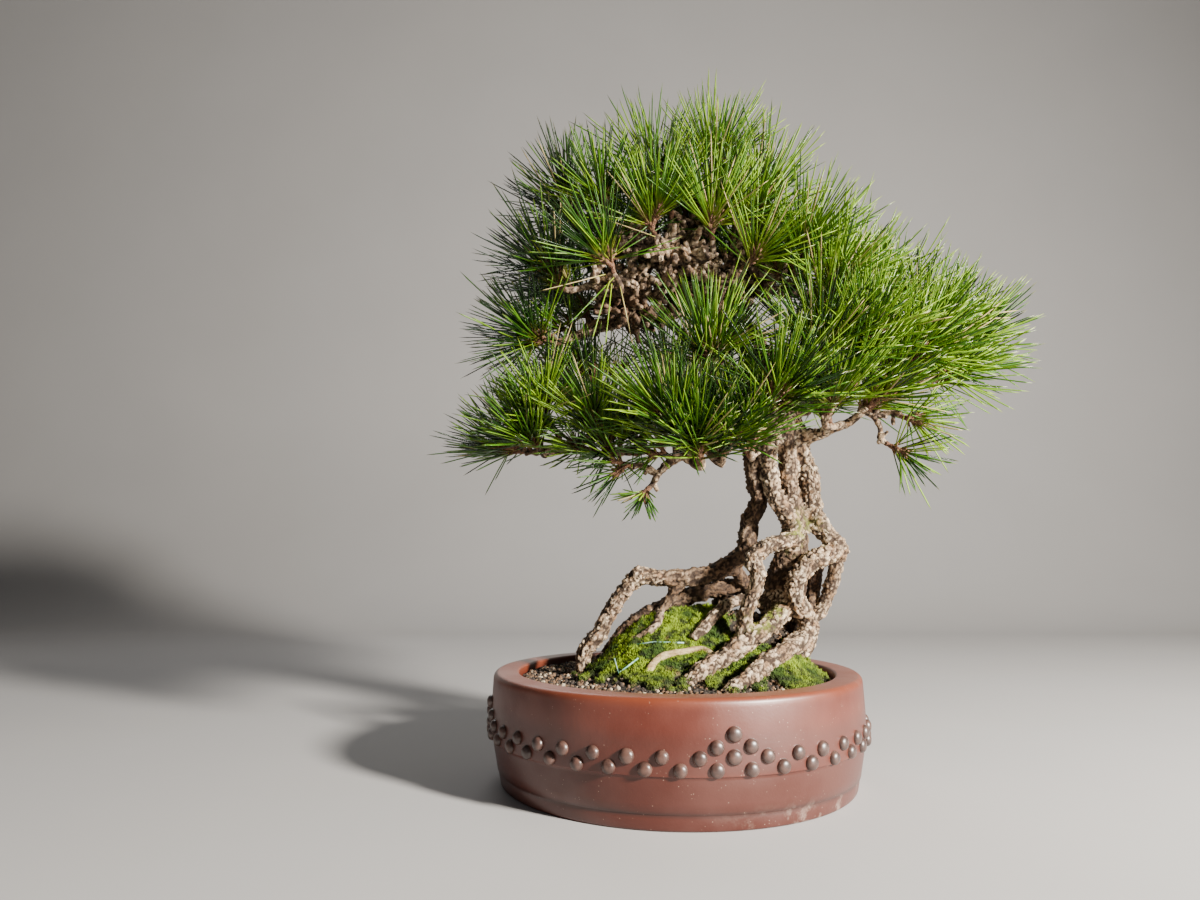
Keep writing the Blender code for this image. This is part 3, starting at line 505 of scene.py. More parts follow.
def moss_height(x, y):
    """Cushions over the patches, thin tufts where broken noise allows, and under the soil elsewhere."""
    flat = np.stack([x, y, np.zeros_like(x)], -1)
    ragged = 0.20 * noise3(flat, 17.0, 24) + 0.14 * noise3(flat, 6.0, 25)
    lumps = 1 + 0.34 * noise3(flat, 11.0, 8) + 0.30 * noise3(flat, 4.5, 9)
    cushion = 6.0 * (1 - np.clip(moss_cover(x, y) + ragged, 0, 1) ** 5) * lumps
    cushion = cushion * (1 - 0.5 * np.clip((x - 92) / 16, 0, 1))
    thin = np.min([moss_share(x, y, row) for row in THIN_MOSS], axis=0)
    sparse = noise3(flat, 13.0, 26) + 0.6 * noise3(flat, 5.0, 27) + 0.30 - 0.9 * np.clip(thin, 0, 2) ** 4
    tall = np.maximum(cushion, 3.6 * np.clip(2.5 * sparse, 0, 1))
    return tall - 4.5 * (1 - np.clip(tall / 1.6, 0, 1))


MOSS_REACH, MOSS_UNDER = 146.0, 84.0
x, y = spread[:, None] * MOSS_REACH * np.cos(angle), spread[:, None] * MOSS_REACH * np.sin(angle)
bed_verts, bed_faces = turned([(0, 0), (1, 0)] + [(s, 1) for s in spread[::-1]] + [(0, 1)], len(angle))
bed_verts[:len(angle)] = np.column_stack([x[-1], y[-1], np.full(len(angle), MOSS_UNDER)])
bed_verts[len(angle):-2] = np.stack([x, y, ground(x, y) + moss_height(x, y)], -1)[::-1].reshape(-1, 3)
bed_verts[-2:] = [(0, 0, MOSS_UNDER), (0, 0, (ground(x, y) + moss_height(x, y))[0].mean())]

draw = np.random.default_rng(31)
LEAF_TRIES, MOST_LEAVES = 62000, 36000
tries = np.column_stack([draw.uniform(-110, 146, LEAF_TRIES), draw.uniform(-128, 60, LEAF_TRIES)])
stands = moss_height(tries[:, 0], tries[:, 1])
grows = (stands > 1.0) & (np.hypot(tries[:, 0], tries[:, 1]) < MOSS_REACH - 2)
tries, stands = tries[grows][:MOST_LEAVES], stands[grows][:MOST_LEAVES]
foot = np.column_stack([tries, ground(tries[:, 0], tries[:, 1]) + stands - 0.6])
count = len(foot)
lean = np.column_stack([draw.normal(0, 0.45, count), draw.normal(0, 0.45, count), np.ones(count)])
leaf_length = draw.uniform(1.6, 4.4, count)
a = draw.uniform(0, 2 * np.pi, count)
corners = [foot + 0.66 * np.stack([np.cos(a + t), np.sin(a + t), np.zeros(count)], -1)
           for t in (0, 2.1, 4.2)]
tips = foot + unit(lean) * leaf_length[:, None]
leaf_verts = np.stack(corners + [tips], 1).reshape(-1, 3)
leaf_faces = (np.array([(0, 1, 3), (1, 2, 3), (2, 0, 3), (2, 1, 0)])[None]
              + 4 * np.arange(count)[:, None, None]).reshape(-1, 3)
leaf_faces = np.column_stack([leaf_faces, leaf_faces[:, 2]])
verts, faces = join_arrays([(bed_verts, bed_faces), (leaf_verts, leaf_faces)])
rise = np.concatenate([np.full(len(bed_verts), 0.2), np.tile([0.25, 0.25, 0.25, 1.0], count)])
depth = np.concatenate([moss_height(bed_verts[:, 0], bed_verts[:, 1]), np.repeat(stands, 4)])
green = Shader("moss", roughness=0.85)
patch = green.noise(34.0, 3.0)
tone = green.mix(patch.smooth(0.40, 0.58), (0.055, 0.125, 0.004), (0.380, 0.550, 0.008))
# Painted shade: the moss bed and the feet of the leaves are darker, down among the leaves.
tone = green.mix(green.attribute("rise").smooth(0.9, 0.2) * 0.72, tone, (0.018, 0.034, 0.004))
tone = green.mix(green.attribute("depth").smooth(3.6, 1.4) * 0.7, tone, (0.050, 0.058, 0.012))
tone = green.mix(green.noise(120.0, 3.0).smooth(0.49, 0.38) * 0.85, tone, (0.014, 0.022, 0.004))
tone = green.mix(green.axis("Z").smooth(0.111, 0.100) * 0.45, tone, (0.034, 0.048, 0.007))
tone = green.mix(green.noise(90.0).smooth(0.62, 0.70) * 0.6, tone, (0.20, 0.13, 0.045))
green.set("Base Color", tone)
green.bump(green.noise(900.0), 0.0008)
moss = make_mesh("moss_cushions", verts, faces, green.material, smooth=False, rise=rise, depth=depth)
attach(moss, "root")
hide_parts("moss_1", "moss_2")


# Tree wood.
# The tree's own wood, grown as one: lifted roots that twist and graft together into the trunk, then the
# branches. Old pine bark in thick pale flakes over dark cracks.

# The tones are painted light and shade: the front roots lit, the core and the roots behind it shaded.
# Route: tone from 0 (pale, sunlit bark) to 1 (dark bark in shade), flake relief, then points (x, y, z,
# radius).
ROUTES = {
    "left_rear": (0.75, 1.0, [(90, 15, 344, 12), (85, 15, 318, 10.5), (84, 14, 287, 9.5),
        (89, 12, 270, 9.5), (80, 12, 243, 9.5), (72, 10, 213, 11)]),
    "long_left": (0.55, 1.0, [(74, 11, 217, 9), (56, 8, 199, 10), (28, 5, 190, 9.5), (-14, 0, 188, 8),
        (-34, -2, 190, 10), (-50, -4, 176, 9), (-62, -5, 159, 8.5), (-73, -6, 135, 8), (-88, -6, 117, 8),
        (-93, -6, 84, 8)]),
    "left_prop": (0.65, 0.7, [(11, 2, 190, 6), (3, 3, 178, 6), (-5, 4, 165, 5.5), (-15, 4, 152, 5)]),
    "left_stub": (0.5, 0.6, [(-14, 5, 155, 5), (-15, -6, 148, 4.5), (-25, -17, 137, 4.5),
        (-42, -15, 129, 4)]),
    "left_link": (0.8, 0.8, [(60, 9, 202, 7), (67, 12, 188, 6.5), (74, 20, 176, 6.5)]),
    "front_left": (0.35, 1.0, [(96, -14, 340, 10), (94, -19, 308, 9.5), (96, -20, 280, 9),
        (105, -18, 259, 10), (114, -14, 244, 10), (122, -6, 228, 10)]),
    "front_mid": (0.45, 1.0, [(113, -6, 338, 11), (115, -8, 308, 10), (116, -8, 276, 10),
        (121, -6, 253, 10.5), (125, -3, 231, 11)]),
    "right": (0.15, 1.0, [(124, 2, 342, 12), (129, 0, 319, 11), (138, 0, 286, 10.5), (141, 0, 253, 10),
        (149, 0, 237, 10), (161, 2, 222, 9.5), (168, 4, 208, 9)]),
    "right_outer": (0.35, 0.9, [(167, 4, 211, 7.5), (160, 8, 185, 7), (152, 8, 165, 6.5),
        (143, 4, 150, 6.5), (133, -4, 141, 7)]),
    "right_inner": (0.12, 1.0, [(170, 3, 212, 8), (154, -4, 211, 10), (134, -14, 204, 10),
        (120, -20, 190, 10), (115, -22, 182, 9.5), (117, -20, 166, 9.5), (127, -14, 151, 10),
        (133, -9, 138, 10)]),
    "right_foot": (0.1, 1.0, [(131, -10, 143, 9), (123, -20, 132, 9.5), (96, -46, 120, 9),
        (68, -76, 109, 8), (47, -96, 100, 7.5), (31, -110, 91, 7)]),
    "right_foot_small": (0.15, 0.5, [(136, -9, 138, 5), (131, -12, 124, 5), (120, -20, 110, 4.5),
        (112, -25, 99, 4.5), (104, -29, 88, 4)]),
    "hanging": (0.2, 1.0, [(123, -8, 228, 9), (113, -18, 226, 8.5), (95, -26, 221, 8.5), (78, -32, 212, 9),
        (73, -34, 204, 9), (78, -36, 191, 8.5), (73, -36, 174, 8), (64, -35, 153, 8), (59, -28, 118, 6)]),
    "core": (0.85, 1.0, [(122, 4, 238, 13), (117, 4, 216, 14), (110, 6, 199, 14), (107, 8, 181, 15),
        (109, 8, 161, 16), (110, 8, 118, 14)]),
    "big_front": (0.05, 1.0, [(92, 12, 163, 10.5), (106, -8, 161, 10.5), (97, -20, 150, 10),
        (79, -31, 138, 10), (59, -45, 126, 10), (35, -59, 115, 9.5), (18, -69, 107, 9), (2, -79, 94, 8.5)]),
    "mid_front": (0.3, 0.8, [(94, 6, 163, 7), (73, 2, 166, 6.5), (61, -2, 166, 6.5), (44, -9, 156, 6),
        (29, -21, 143, 6), (15, -30, 129, 5.5)]),
    "pale_front": (-0.1, 0.25, [(36, -54, 115, 3.5), (22, -40, 123, 3.5), (3, -45, 121, 3.5),
        (-16, -49, 117, 4), (-28, -62, 107, 4), (-34, -68, 95, 4)]),
    "ridge": (0.8, 0.9, [(114, 12, 202, 9), (100, 20, 188, 9.5), (75, 22, 180, 9.5), (54, 22, 177, 9),
        (29, 21, 173, 9), (3, 18, 165, 8.5), (-32, 14, 147, 8), (-51, 12, 131, 7.5), (-66, 8, 112, 7)]),
    "inner": (0.85, 0.7, [(165, 10, 209, 6), (150, 22, 202, 7), (146, 22, 189, 7), (142, 20, 171, 7),
        (134, 8, 150, 7), (132, -2, 143, 6.5)]),
    "rear": (0.8, 1.0, [(118, 12, 332, 11), (124, 26, 300, 10), (129, 36, 265, 10), (130, 44, 230, 9.5),
        (128, 52, 195, 9.5), (122, 61, 160, 9), (114, 70, 125, 8.5), (106, 76, 92, 8)]),
    "rear_right": (0.5, 1.0, [(126, 32, 262, 7), (137, 42, 225, 8), (138, 50, 190, 8), (138, 56, 155, 7.5),
        (132, 56, 120, 7), (126, 54, 88, 6.5)]),
    "rear_left": (0.6, 0.9, [(56, 27, 174, 7.5), (46, 48, 152, 7.5), (36, 72, 120, 7), (26, 92, 95, 6.5),
        (20, 100, 84, 6)]),
    "trunk": (0.35, 1.3, [(109, 3, 326, 19), (112, 5, 345, 19), (110, 7, 368, 18), (101, 9, 396, 17),
        (87, 10, 424, 16), (66, 12, 452, 15), (44, 12, 477, 13.5), (24, 10, 501, 12), (16, 8, 524, 10),
        (24, 4, 548, 8.5), (36, 0, 572, 7), (42, -4, 594, 5)]),
    "low_front": (0.3, 0.8, [(106, -2, 338, 9), (63, -35, 329, 7.5), (23, -62, 312, 6.5), (-4, -72, 298, 5),
        (-16, -76, 288, 3.5), (-22, -80, 281, 2.8)]),
    "low_front_side": (0.3, 0.6, [(64, -36, 329, 6), (56, -66, 322, 5), (62, -92, 324, 4)]),
    "low_left": (0.4, 0.9, [(101, 8, 392, 11), (64, 2, 390, 9), (29, -4, 378, 8), (-25, -12, 352, 7),
        (-68, -18, 333, 6), (-106, -20, 317, 5), (-132, -18, 312, 4)]),
    "low_left_front": (0.4, 0.6, [(-18, -12, 354, 5.5), (-30, -42, 328, 4.5), (-32, -66, 304, 4)]),
    "low_left_back": (0.5, 0.6, [(-28, -12, 351, 5.5), (-52, 26, 356, 5), (-84, 54, 364, 4)]),
    "mid_left": (0.4, 0.8, [(44, 12, 477, 10), (4, 4, 462, 8.5), (-36, -4, 452, 7), (-76, -10, 440, 5.5),
        (-106, -14, 428, 4.5)]),
    "mid_left_up": (0.4, 0.6, [(-20, 0, 457, 6.5), (-52, -16, 470, 5.5), (-82, -28, 480, 4.5)]),
    "crown_left": (0.4, 0.8, [(20, 9, 506, 9), (-16, 2, 518, 7.5), (-50, -12, 530, 6), (-78, -14, 540, 5)]),
    "crown_front": (0.2, 0.8, [(24, 10, 500, 8.5), (16, -20, 498, 7), (4, -44, 500, 5.5),
        (-8, -58, 504, 4.5)]),
    "crown_right": (0.3, 0.8, [(52, 12, 470, 9.5), (75, 2, 487, 8), (98, -8, 501, 6.4),
        (114, -11, 513, 5.4), (124, -6, 524, 4.5)]),
    "crown_back": (0.5, 0.8, [(30, 10, 494, 8.5), (24, 44, 512, 7), (12, 74, 528, 5.5), (4, 92, 540, 4.5)]),
    "back_left": (0.5, 0.8, [(50, 12, 471, 8), (14, 44, 474, 7), (-30, 64, 480, 5.5), (-72, 66, 484, 4.5)]),
    "right_mid": (0.3, 0.9, [(100, 9, 398, 11), (138, 0, 408, 9.5), (178, -8, 412, 8.5), (222, -12, 410, 7),
        (258, -10, 406, 5.5), (284, -6, 410, 4.5)]),
    "right_mid_front": (0.2, 0.7, [(150, -3, 409, 7), (160, -34, 390, 6), (158, -60, 376, 4.5)]),
    "right_mid_back": (0.5, 0.7, [(164, -5, 411, 7), (186, 34, 414, 6), (214, 58, 416, 5)]),
    "right_low": (0.1, 0.7, [(128, 0, 328, 9), (141, -16, 330, 7), (155, -28, 334, 5.5),
        (168, -38, 338, 4.5), (181, -44, 347, 3.4), (190, -46, 343, 3), (195, -48, 333, 2.8),
        (196, -48, 325, 2.8)]),
    "front_up": (0.3, 0.8, [(106, 2, 378, 9), (98, -36, 366, 7.5), (84, -64, 352, 6), (76, -84, 340, 4.5)]),
    "front_left_up": (0.3, 0.8, [(98, 6, 402, 7.5), (66, -30, 386, 6), (38, -60, 372, 5)]),
    "back_low": (0.5, 0.8, [(110, 10, 360, 10), (104, 52, 364, 8), (94, 88, 368, 6.5), (70, 108, 374, 5)]),
    "back_low_right": (0.5, 0.7, [(103, 60, 364, 6.5), (136, 86, 368, 5.5), (164, 94, 372, 4.5)]),
    "upper_right": (0.3, 0.7, [(74, 2, 492, 6.5), (112, 18, 490, 6), (152, 26, 488, 5),
        (184, 20, 492, 4.5)]),
}
BRANCH_NAMES = list(ROUTES)[list(ROUTES).index("trunk"):]

# Short bare stubs in the open front of the crown: start, end and radius.
STUBS = [
    ((20, -16, 498), (32, -40, 486), 4.2), ((8, -36, 500), (26, -50, 494), 3.8),
    ((4, 2, 462), (12, -24, 476), 4.2), ((-10, 0, 460), (-14, -28, 470), 4.0),
    ((-30, -2, 454), (-22, -30, 444), 3.8), ((12, -26, 498), (-8, -34, 484), 3.8),
    ((60, 8, 460), (62, -18, 474), 4.6), ((52, 8, 468), (34, -14, 474), 4.4),
    ((76, 0, 490), (56, -18, 494), 4.0), ((-44, -6, 450), (-50, -32, 448), 3.6),
    ((70, 8, 446), (52, -20, 446), 4.6), ((-52, -16, 470), (-36, -36, 478), 3.4),
]

# Sprays: base of the shoot (x, y, z) and its direction.
SPRAYS = [
    (35, -70, 510, .05, -.33, .94), (-20, -70, 515, -.2, -.3, .93), (-60, -75, 475, -.44, -.44, .78),
    (70, -50, 525, .25, -.28, .93), (62, -72, 480, .6, -.56, .56), (119, -56, 490, .38, -.33, .86),
    (145, -65, 455, .33, -.42, .84), (216, -16, 447, .25, -.2, .95), (238, -35, 424, .5, -.25, .84),
    (286, -8, 418, .72, -.1, .69), (254, -30, 386, .92, -.26, .3), (216, -64, 392, .6, -.5, .6),
    (172, -78, 400, .35, -.5, .8), (130, -88, 384, .15, -.4, .9), (140, -84, 345, .32, -.53, .79),
    (182, -54, 350, .75, -.42, .5), (82, -104, 342, .1, -.4, .91),
    (66, -82, 305, .05, -.51, .86), (18, -92, 300, -.05, -.33, .94), (40, -76, 301, 0, -.52, .85),
    (28, -86, 382, -.15, -.4, .9), (-8, -94, 322, -.36, -.46, .81), (-44, -84, 290, -.84, -.5, -.1),
    (-28, -84, 271, -.66, -.13, -.73), (-72, -56, 322, -.31, -.36, .88),
    (-132, -36, 313, -.55, -.33, .77), (-152, -12, 315, -.95, -.11, .3),
    (-122, -30, 344, -.41, -.3, .86), (-128, -18, 425, -.98, -.11, .16),
    (-116, -38, 482, -.65, -.38, .65), (-66, -46, 546, -.29, -.24, .92),
    (-102, -6, 562, -.5, .05, .86), (-14, -24, 588, -.1, -.1, .99), (44, -10, 603, .05, 0, 1),
    (96, -14, 574, .3, -.1, .95), (140, 2, 504, .42, .05, .9), (196, 18, 480, .42, .1, .9),
    (274, 28, 420, .52, .24, .82), (200, -47, 317, .81, -.22, -.54), (214, -50, 343, .94, -.22, -.28),
    (-108, 64, 500, -.6, .4, .7), (-30, 92, 560, -.25, .6, .75), (40, 96, 572, .15, .6, .8),
    (110, 70, 540, .45, .55, .7), (205, 82, 440, .35, .7, .62), (-100, 70, 375, -.6, .55, .58),
    (40, 128, 385, -.2, .8, .55), (168, 112, 385, .4, .75, .52),
]
SEED = 7
SHOOT_LENGTH = 26.0
# The thin hanging sprays are smaller than the rest.
SPRAY_SIZE = {23: 0.8, 24: 0.45, 39: 0.8, 40: 0.8}

# Tufts inside and at the back of the crown, which close it behind the open front.
INNER = [
    (-60, 34, 496, -.3, .3, .9), (-28, 48, 520, -.1, .4, .9), (6, 42, 536, 0, .3, .95),
    (36, 34, 540, .1, .3, .95), (66, 36, 524, .2, .3, .9), (96, 34, 506, .3, .3, .9),
    (-84, 24, 462, -.6, .3, .7), (-46, 44, 462, -.3, .6, .7),
    (26, 52, 492, .1, .6, .8),
    (136, 42, 446, .4, .5, .75), (-92, 30, 410, -.6, .4, .7), (-52, 44, 402, -.3, .6, .7),
    (-6, 54, 414, 0, .7, .7), (40, 60, 424, .1, .7, .7), (130, 48, 508, .4, .4, .8),
    (-100, 4, 440, -.7, .1, .7), (-70, -2, 508, -.5, 0, .85),
    (-78, 6, 388, -.5, .2, .8), (170, 30, 470, .4, .2, .9), (0, 20, 402, -.1, .3, .9),
    (-42, 14, 546, -.2, .1, .9), (-14, 8, 562, -.1, .1, 1), (18, 6, 572, 0, .1, 1),
    (48, 8, 566, .1, .1, 1), (76, 10, 550, .2, .1, .9), (-62, 2, 528, -.4, 0, .9),
    (0, -22, 552, 0, -.2, .9), (38, -24, 560, .1, -.2, .9), (66, -14, 546, .2, -.1, .9),
    (-34, -18, 536, -.2, -.2, .9), (104, 14, 520, .3, .1, .9), (20, 30, 560, 0, .2, .9),
]
# Small low tufts along the front of the lowest pad.
LOW_TUFTS = [
    (-14, -80, 302, -.5, -.4, .35), (-60, -68, 308, -.6, -.4, .15), (-88, -46, 312, -.7, -.4, .2),
    (10, -92, 306, .05, -.7, .3), (-36, -60, 316, -.4, -.5, .5), (44, -96, 312, .1, -.6, .5),
]


def plates(points, seed=0):
    """Plate noise: distances to the two nearest scattered points, and the nearest one's number."""
    base = np.floor(points)
    near = np.full(len(points), 9.0)
    second = near.copy()
    number = np.zeros(len(points))
    for i in (-1, 0, 1):
        for j in (-1, 0, 1):
            for k in (-1, 0, 1):
                cell = base + (i, j, k)
                spot = cell + np.stack([lattice(cell, seed + n) for n in (1, 2, 3)], -1)
                reach = np.linalg.norm(points - spot, axis=-1)
                closer = reach < near
                second = np.where(closer, near, np.minimum(second, reach))
                number = np.where(closer, lattice(cell, seed + 4), number)
                near = np.where(closer, reach, near)
    return near, second, number


def smooth_route(points, step):
    """Extra points along a route (x, y, z, radius): a curve through every given point, about step apart."""
    p = np.array(points, float)
    p = np.vstack([2 * p[0] - p[1], p, 2 * p[-1] - p[-2]])
    made = []
    for a, b, c, d in zip(p, p[1:], p[2:], p[3:]):
        count = max(1, int(np.linalg.norm((c - b)[:3]) / step))
        t = np.arange(count)[:, None] / count
        made.append(0.5 * (2 * b + (c - a) * t + (2 * a - 5 * b + 4 * c - d) * t**2
                           + (3 * b - a - 3 * c + d) * t**3))
    made.append(p[-2][None])
    return np.vstack(made)


def tube(route, sides):
    """A closed tube about a route of (x, y, z, radius) rows, its frame carried along without twist."""
    centre, radius = route[:, :3], route[:, 3]
    ahead = unit(np.gradient(centre, axis=0))
    across = np.zeros_like(ahead)
    side = unit(np.cross(ahead[0], (0.31, 0.83, 0.46)))
    for i, way in enumerate(ahead):
        side = unit(side - way * np.dot(side, way))
        across[i] = side
    up = np.cross(ahead, across)
    angle = 2 * np.pi * np.arange(sides) / sides
    ring = across[:, None] * np.cos(angle)[None, :, None] + up[:, None] * np.sin(angle)[None, :, None]
    verts = (centre[:, None] + ring * radius[:, None, None]).reshape(-1, 3)
    return np.vstack([verts, centre[0], centre[-1]]), ring_faces(len(route), sides)


def nearest_on_branches(point):
    """The nearest point on the trunk or a branch, and that branch's radius there."""
    best = None
    for name in BRANCH_NAMES:
        route = ROUTES[name][2]
        for a, b in zip(route, route[1:]):
            a, b = np.array(a, float), np.array(b, float)
            along = b[:3] - a[:3]
            t = np.clip(np.dot(point - a[:3], along) / np.dot(along, along), 0, 1)
            place = a + (b - a) * t
            gap = np.linalg.norm(point - place[:3]) - place[3]
            if best is None or gap < best[0]:
                best = (gap, place[:3], place[3])
    return best[1], best[2]


def twig_rows(base, heading):
    """From the nearest branch to the spray's base: (x, y, z, radius) rows."""
    root, thick = nearest_on_branches(base - 16 * heading)
    length = np.linalg.norm(base - root)
    before = base - heading * min(18, 0.4 * length)
    return [(*root, min(3.8, thick * 0.9)), (*(0.5 * (root + before) + (0, 0, -0.04 * length)), 3.4),
            (*before, 3.1), (*base, 2.7)]


def shoots_of(index):
    """The shoots of one spray, forking from its base: start and end of each."""
    row = SPRAYS[index]
    base, heading = np.array(row[:3], float), unit(row[3:])
    draw = np.random.default_rng(SEED * 1000 + index)
    side = unit(np.cross(heading, draw.normal(size=3)))
    lean = unit(heading + 0.34 * side)
    other = unit(heading - 0.62 * side)
    third = unit(heading + 0.75 * np.cross(heading, side))
    size = SPRAY_SIZE.get(index + 1, 1.0)
    return [(base, base + SHOOT_LENGTH * size * lean),
            (base + 7 * size * lean, base + 7 * size * lean + SHOOT_LENGTH * 0.85 * size * other),
            (base + 4 * size * lean, base + 4 * size * lean + SHOOT_LENGTH * 0.75 * size * third)]


HOLLOW_LEFT, HOLLOW_RIGHT, HOLLOW_BACK, HOLLOW_LOW, HOLLOW_HIGH = -88, 84, 12, 425, 540


def in_hollow(point):
    """Whether a point is in the open front of the crown, where bare twigs show and little grows."""
    x, y, z = point
    return HOLLOW_LEFT < x < HOLLOW_RIGHT and y < HOLLOW_BACK and HOLLOW_LOW < z < HOLLOW_HIGH


draw = np.random.default_rng(41)
samples = []
parts = []


def keep(route, sides, tone, flake, peeled):
    """Adds one tube, and notes each row of its route with its tone, relief, peeled share and direction."""
    parts.append(tube(route, sides))
    marks = [np.full(len(route), mark) for mark in (flake, peeled)]
    way = unit(np.gradient(route[:, :3], axis=0))
    samples.append(np.column_stack([route, tone + np.zeros(len(route))] + marks + [way]))


for name, (tone, flake, points) in ROUTES.items():
    fine_route = smooth_route(points, 3.0)
    length = np.cumsum(np.r_[0, np.linalg.norm(np.diff(fine_route[:, :3], axis=0), axis=1)])
    seed = len(samples)
    strip = np.column_stack([length, np.full((len(length), 2), 7.0 * seed)])
    fine_route[:, 3] *= 1 + 0.10 * noise3(strip, 17.0, 1) + 0.05 * noise3(strip, 7.0, 2)
    drift = np.stack([noise3(strip, 26.0, s) for s in (3, 4, 5)], -1) * np.clip(length / 20, 0, 1)[:, None]
    fine_route[:, :3] += drift * np.minimum(1.6, fine_route[:, 3:] * 0.22)
    # Painted light and shade: this root is shaded where x is above -12 mm and lit to the left of that.
    if name == "long_left":
        tone = np.where(fine_route[:, 0] > -12, 0.75, 0.12)
    keep(fine_route, 12, tone, flake, float(name == "pale_front"))
for a, b, radius in STUBS:
    a, b = np.array(a, float), np.array(b, float)
    bend = (a + b) / 2 + draw.normal(0, 2.5, 3)
    route = smooth_route([(*a, radius), (*bend, radius * 0.9), (*b, radius * 0.8)], 3.0)
    keep(route, 8, 0.1, 0.5, 0.0)
verts, faces = join_arrays(parts)

bark = Shader("bark", roughness=0.85)
relief, painted_shade, plate_number = bark.attribute("relief"), bark.attribute("tone"), bark.attribute("plate")
fleck = bark.noise(260.0, 4.0, 0.65)
# Painted light and shade: the tone attribute mixes a lit bark colour with a shaded one.
lit = bark.mix(plate_number.smooth(0.0, 1.0), (0.360, 0.215, 0.110), (0.94, 0.76, 0.53))
lit = bark.mix(plate_number.smooth(0.80, 0.90) * 0.6, lit, (0.42, 0.215, 0.110))
shaded_bark = bark.mix(plate_number.smooth(0.0, 1.0), (0.070, 0.038, 0.019), (0.190, 0.112, 0.058))
tone = bark.mix(painted_shade.smooth(0.0, 0.95), lit, shaded_bark)
tone = bark.mix(bark.noise(26.0, 2.0).smooth(0.48, 0.62) * 0.35, tone, (0.210, 0.105, 0.052))
tone = bark.mix(fleck.smooth(0.44, 0.62) * 0.6, tone, (0.085, 0.042, 0.020))
tone = bark.mix(relief.smooth(0.74, 0.26) * 0.97, tone, (0.024, 0.011, 0.005))
crackle = bark.cells(210.0, "DISTANCE_TO_EDGE").smooth(0.10, 0.01) * bark.noise(60.0).smooth(0.40, 0.58)
tone = bark.mix(crackle * 0.85, tone, (0.045, 0.026, 0.014))
fibre = bark.noise(1.0, 3.0, 0.6, bark.stretched(60, 60, 260)).smooth(0.35, 0.65)
straw = bark.mix(fibre, (0.30, 0.19, 0.08), (0.72, 0.56, 0.29))
tone = bark.mix(bark.attribute("peeled") * 0.85, tone, straw)
lichen = bark.attribute("lichen") * bark.noise(110.0, 4.0).smooth(0.44, 0.56)
tone = bark.mix(lichen * 0.85, tone, (0.20, 0.25, 0.015))
bark.set("Base Color", tone)
bark.set("Roughness", 0.78 + 0.15 * fleck)
bark.bump(bark.noise(330.0, 4.0, 0.7) * 1.0 + bark.cells(420.0) * 0.5, 0.0011)

VOXEL, LARGE_FLAKE, SMALL_FLAKE = 1.9, 5.0, 2.5
raw = make_mesh("raw_wood", verts, faces, bark.material)
remesh = raw.modifiers.new("fuse", "REMESH")
remesh.mode = "VOXEL"
remesh.voxel_size = VOXEL * MM
fused = raw.evaluated_get(bpy.context.evaluated_depsgraph_get()).to_mesh()


def read(items, key, width=1, kind=np.int32):
    """One value, or one row of values, for each item of a mesh collection."""
    values = np.empty(len(items) * width, kind)
    items.foreach_get(key, values)
    return values if width == 1 else values.reshape(-1, width)


verts = read(fused.vertices, "co", 3, float) / MM
normals = read(fused.vertices, "normal", 3, float)
corners = read(fused.loops, "vertex_index")
totals, starts = read(fused.polygons, "loop_total"), read(fused.polygons, "loop_start")
faces = np.stack([corners[starts], corners[starts + 1], corners[starts + 2],
                  corners[starts + np.minimum(3, totals - 1)]], -1)
bpy.data.objects.remove(raw)

samples = np.vstack(samples)
finder = KDTree(len(samples))
for i, row in enumerate(samples):
    finder.insert(row[:3], i)
finder.balance()
nearest = np.array([finder.find(v)[1] for v in verts])
thickness, tone, flake, peeled = samples[nearest, 3:7].T
way = samples[nearest, 7:]
grain = verts - way * (np.sum(verts * way, axis=1, keepdims=True)) * 0.45
near, second, number = plates(grain / LARGE_FLAKE + noise3(verts, 9.0, 12)[:, None] * 0.35, 51)
near_s, second_s, _ = plates(grain / SMALL_FLAKE + 7.3, 52)
crack = np.clip((second - near) / 0.34, 0, 1)
crack_s = np.clip((second_s - near_s) / 0.42, 0, 1)
relief = np.clip(0.68 * crack + 0.32 * crack_s, 0, 1)
lift = 1.35 * crack + 1.1 * (number - 0.5) * crack + 0.5 * crack_s - 1.25
amount = flake * np.clip(thickness / 9.0, 0.35, 1.15)
coarse = 1.5 * noise3(verts, 13.0, 13) + 0.5 * noise3(verts, 6.0, 18)
verts = verts + normals * ((lift * 1.6 + coarse) * amount)[:, None]
# Tone varies at random, with painted shade that darkens the wood towards the back.
tone_and_painted_shade = tone + 0.22 * noise3(verts, 22.0, 14) + 0.30 * np.clip(verts[:, 1] / 60, -0.6, 1.0)
from_lichen = [np.linalg.norm((verts - middle) / reach, axis=1)
               for middle, reach in (((84, -22, 150), (30, 26, 16)), ((126, -8, 232), (22, 22, 22)))]
lichen_share = np.clip(1.3 - np.min(from_lichen, axis=0), 0, 1) * np.clip(normals[:, 2] + 0.5, 0, 1)
wood = make_mesh("pine_wood", verts, faces, bark.material, relief=relief, tone=np.clip(tone_and_painted_shade, 0, 1),
                 plate=number, lichen=lichen_share, peeled=peeled)
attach(wood, "root")
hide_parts("tree_wood")


# Twigs.
# Part of the same wood: short rough shoots from the branches to each spray, and the dense knotty spurs
# that years of cutting leave behind them in the open front of the crown.

SPURS = 400
draw = np.random.default_rng(43)
parts, tones = [], []


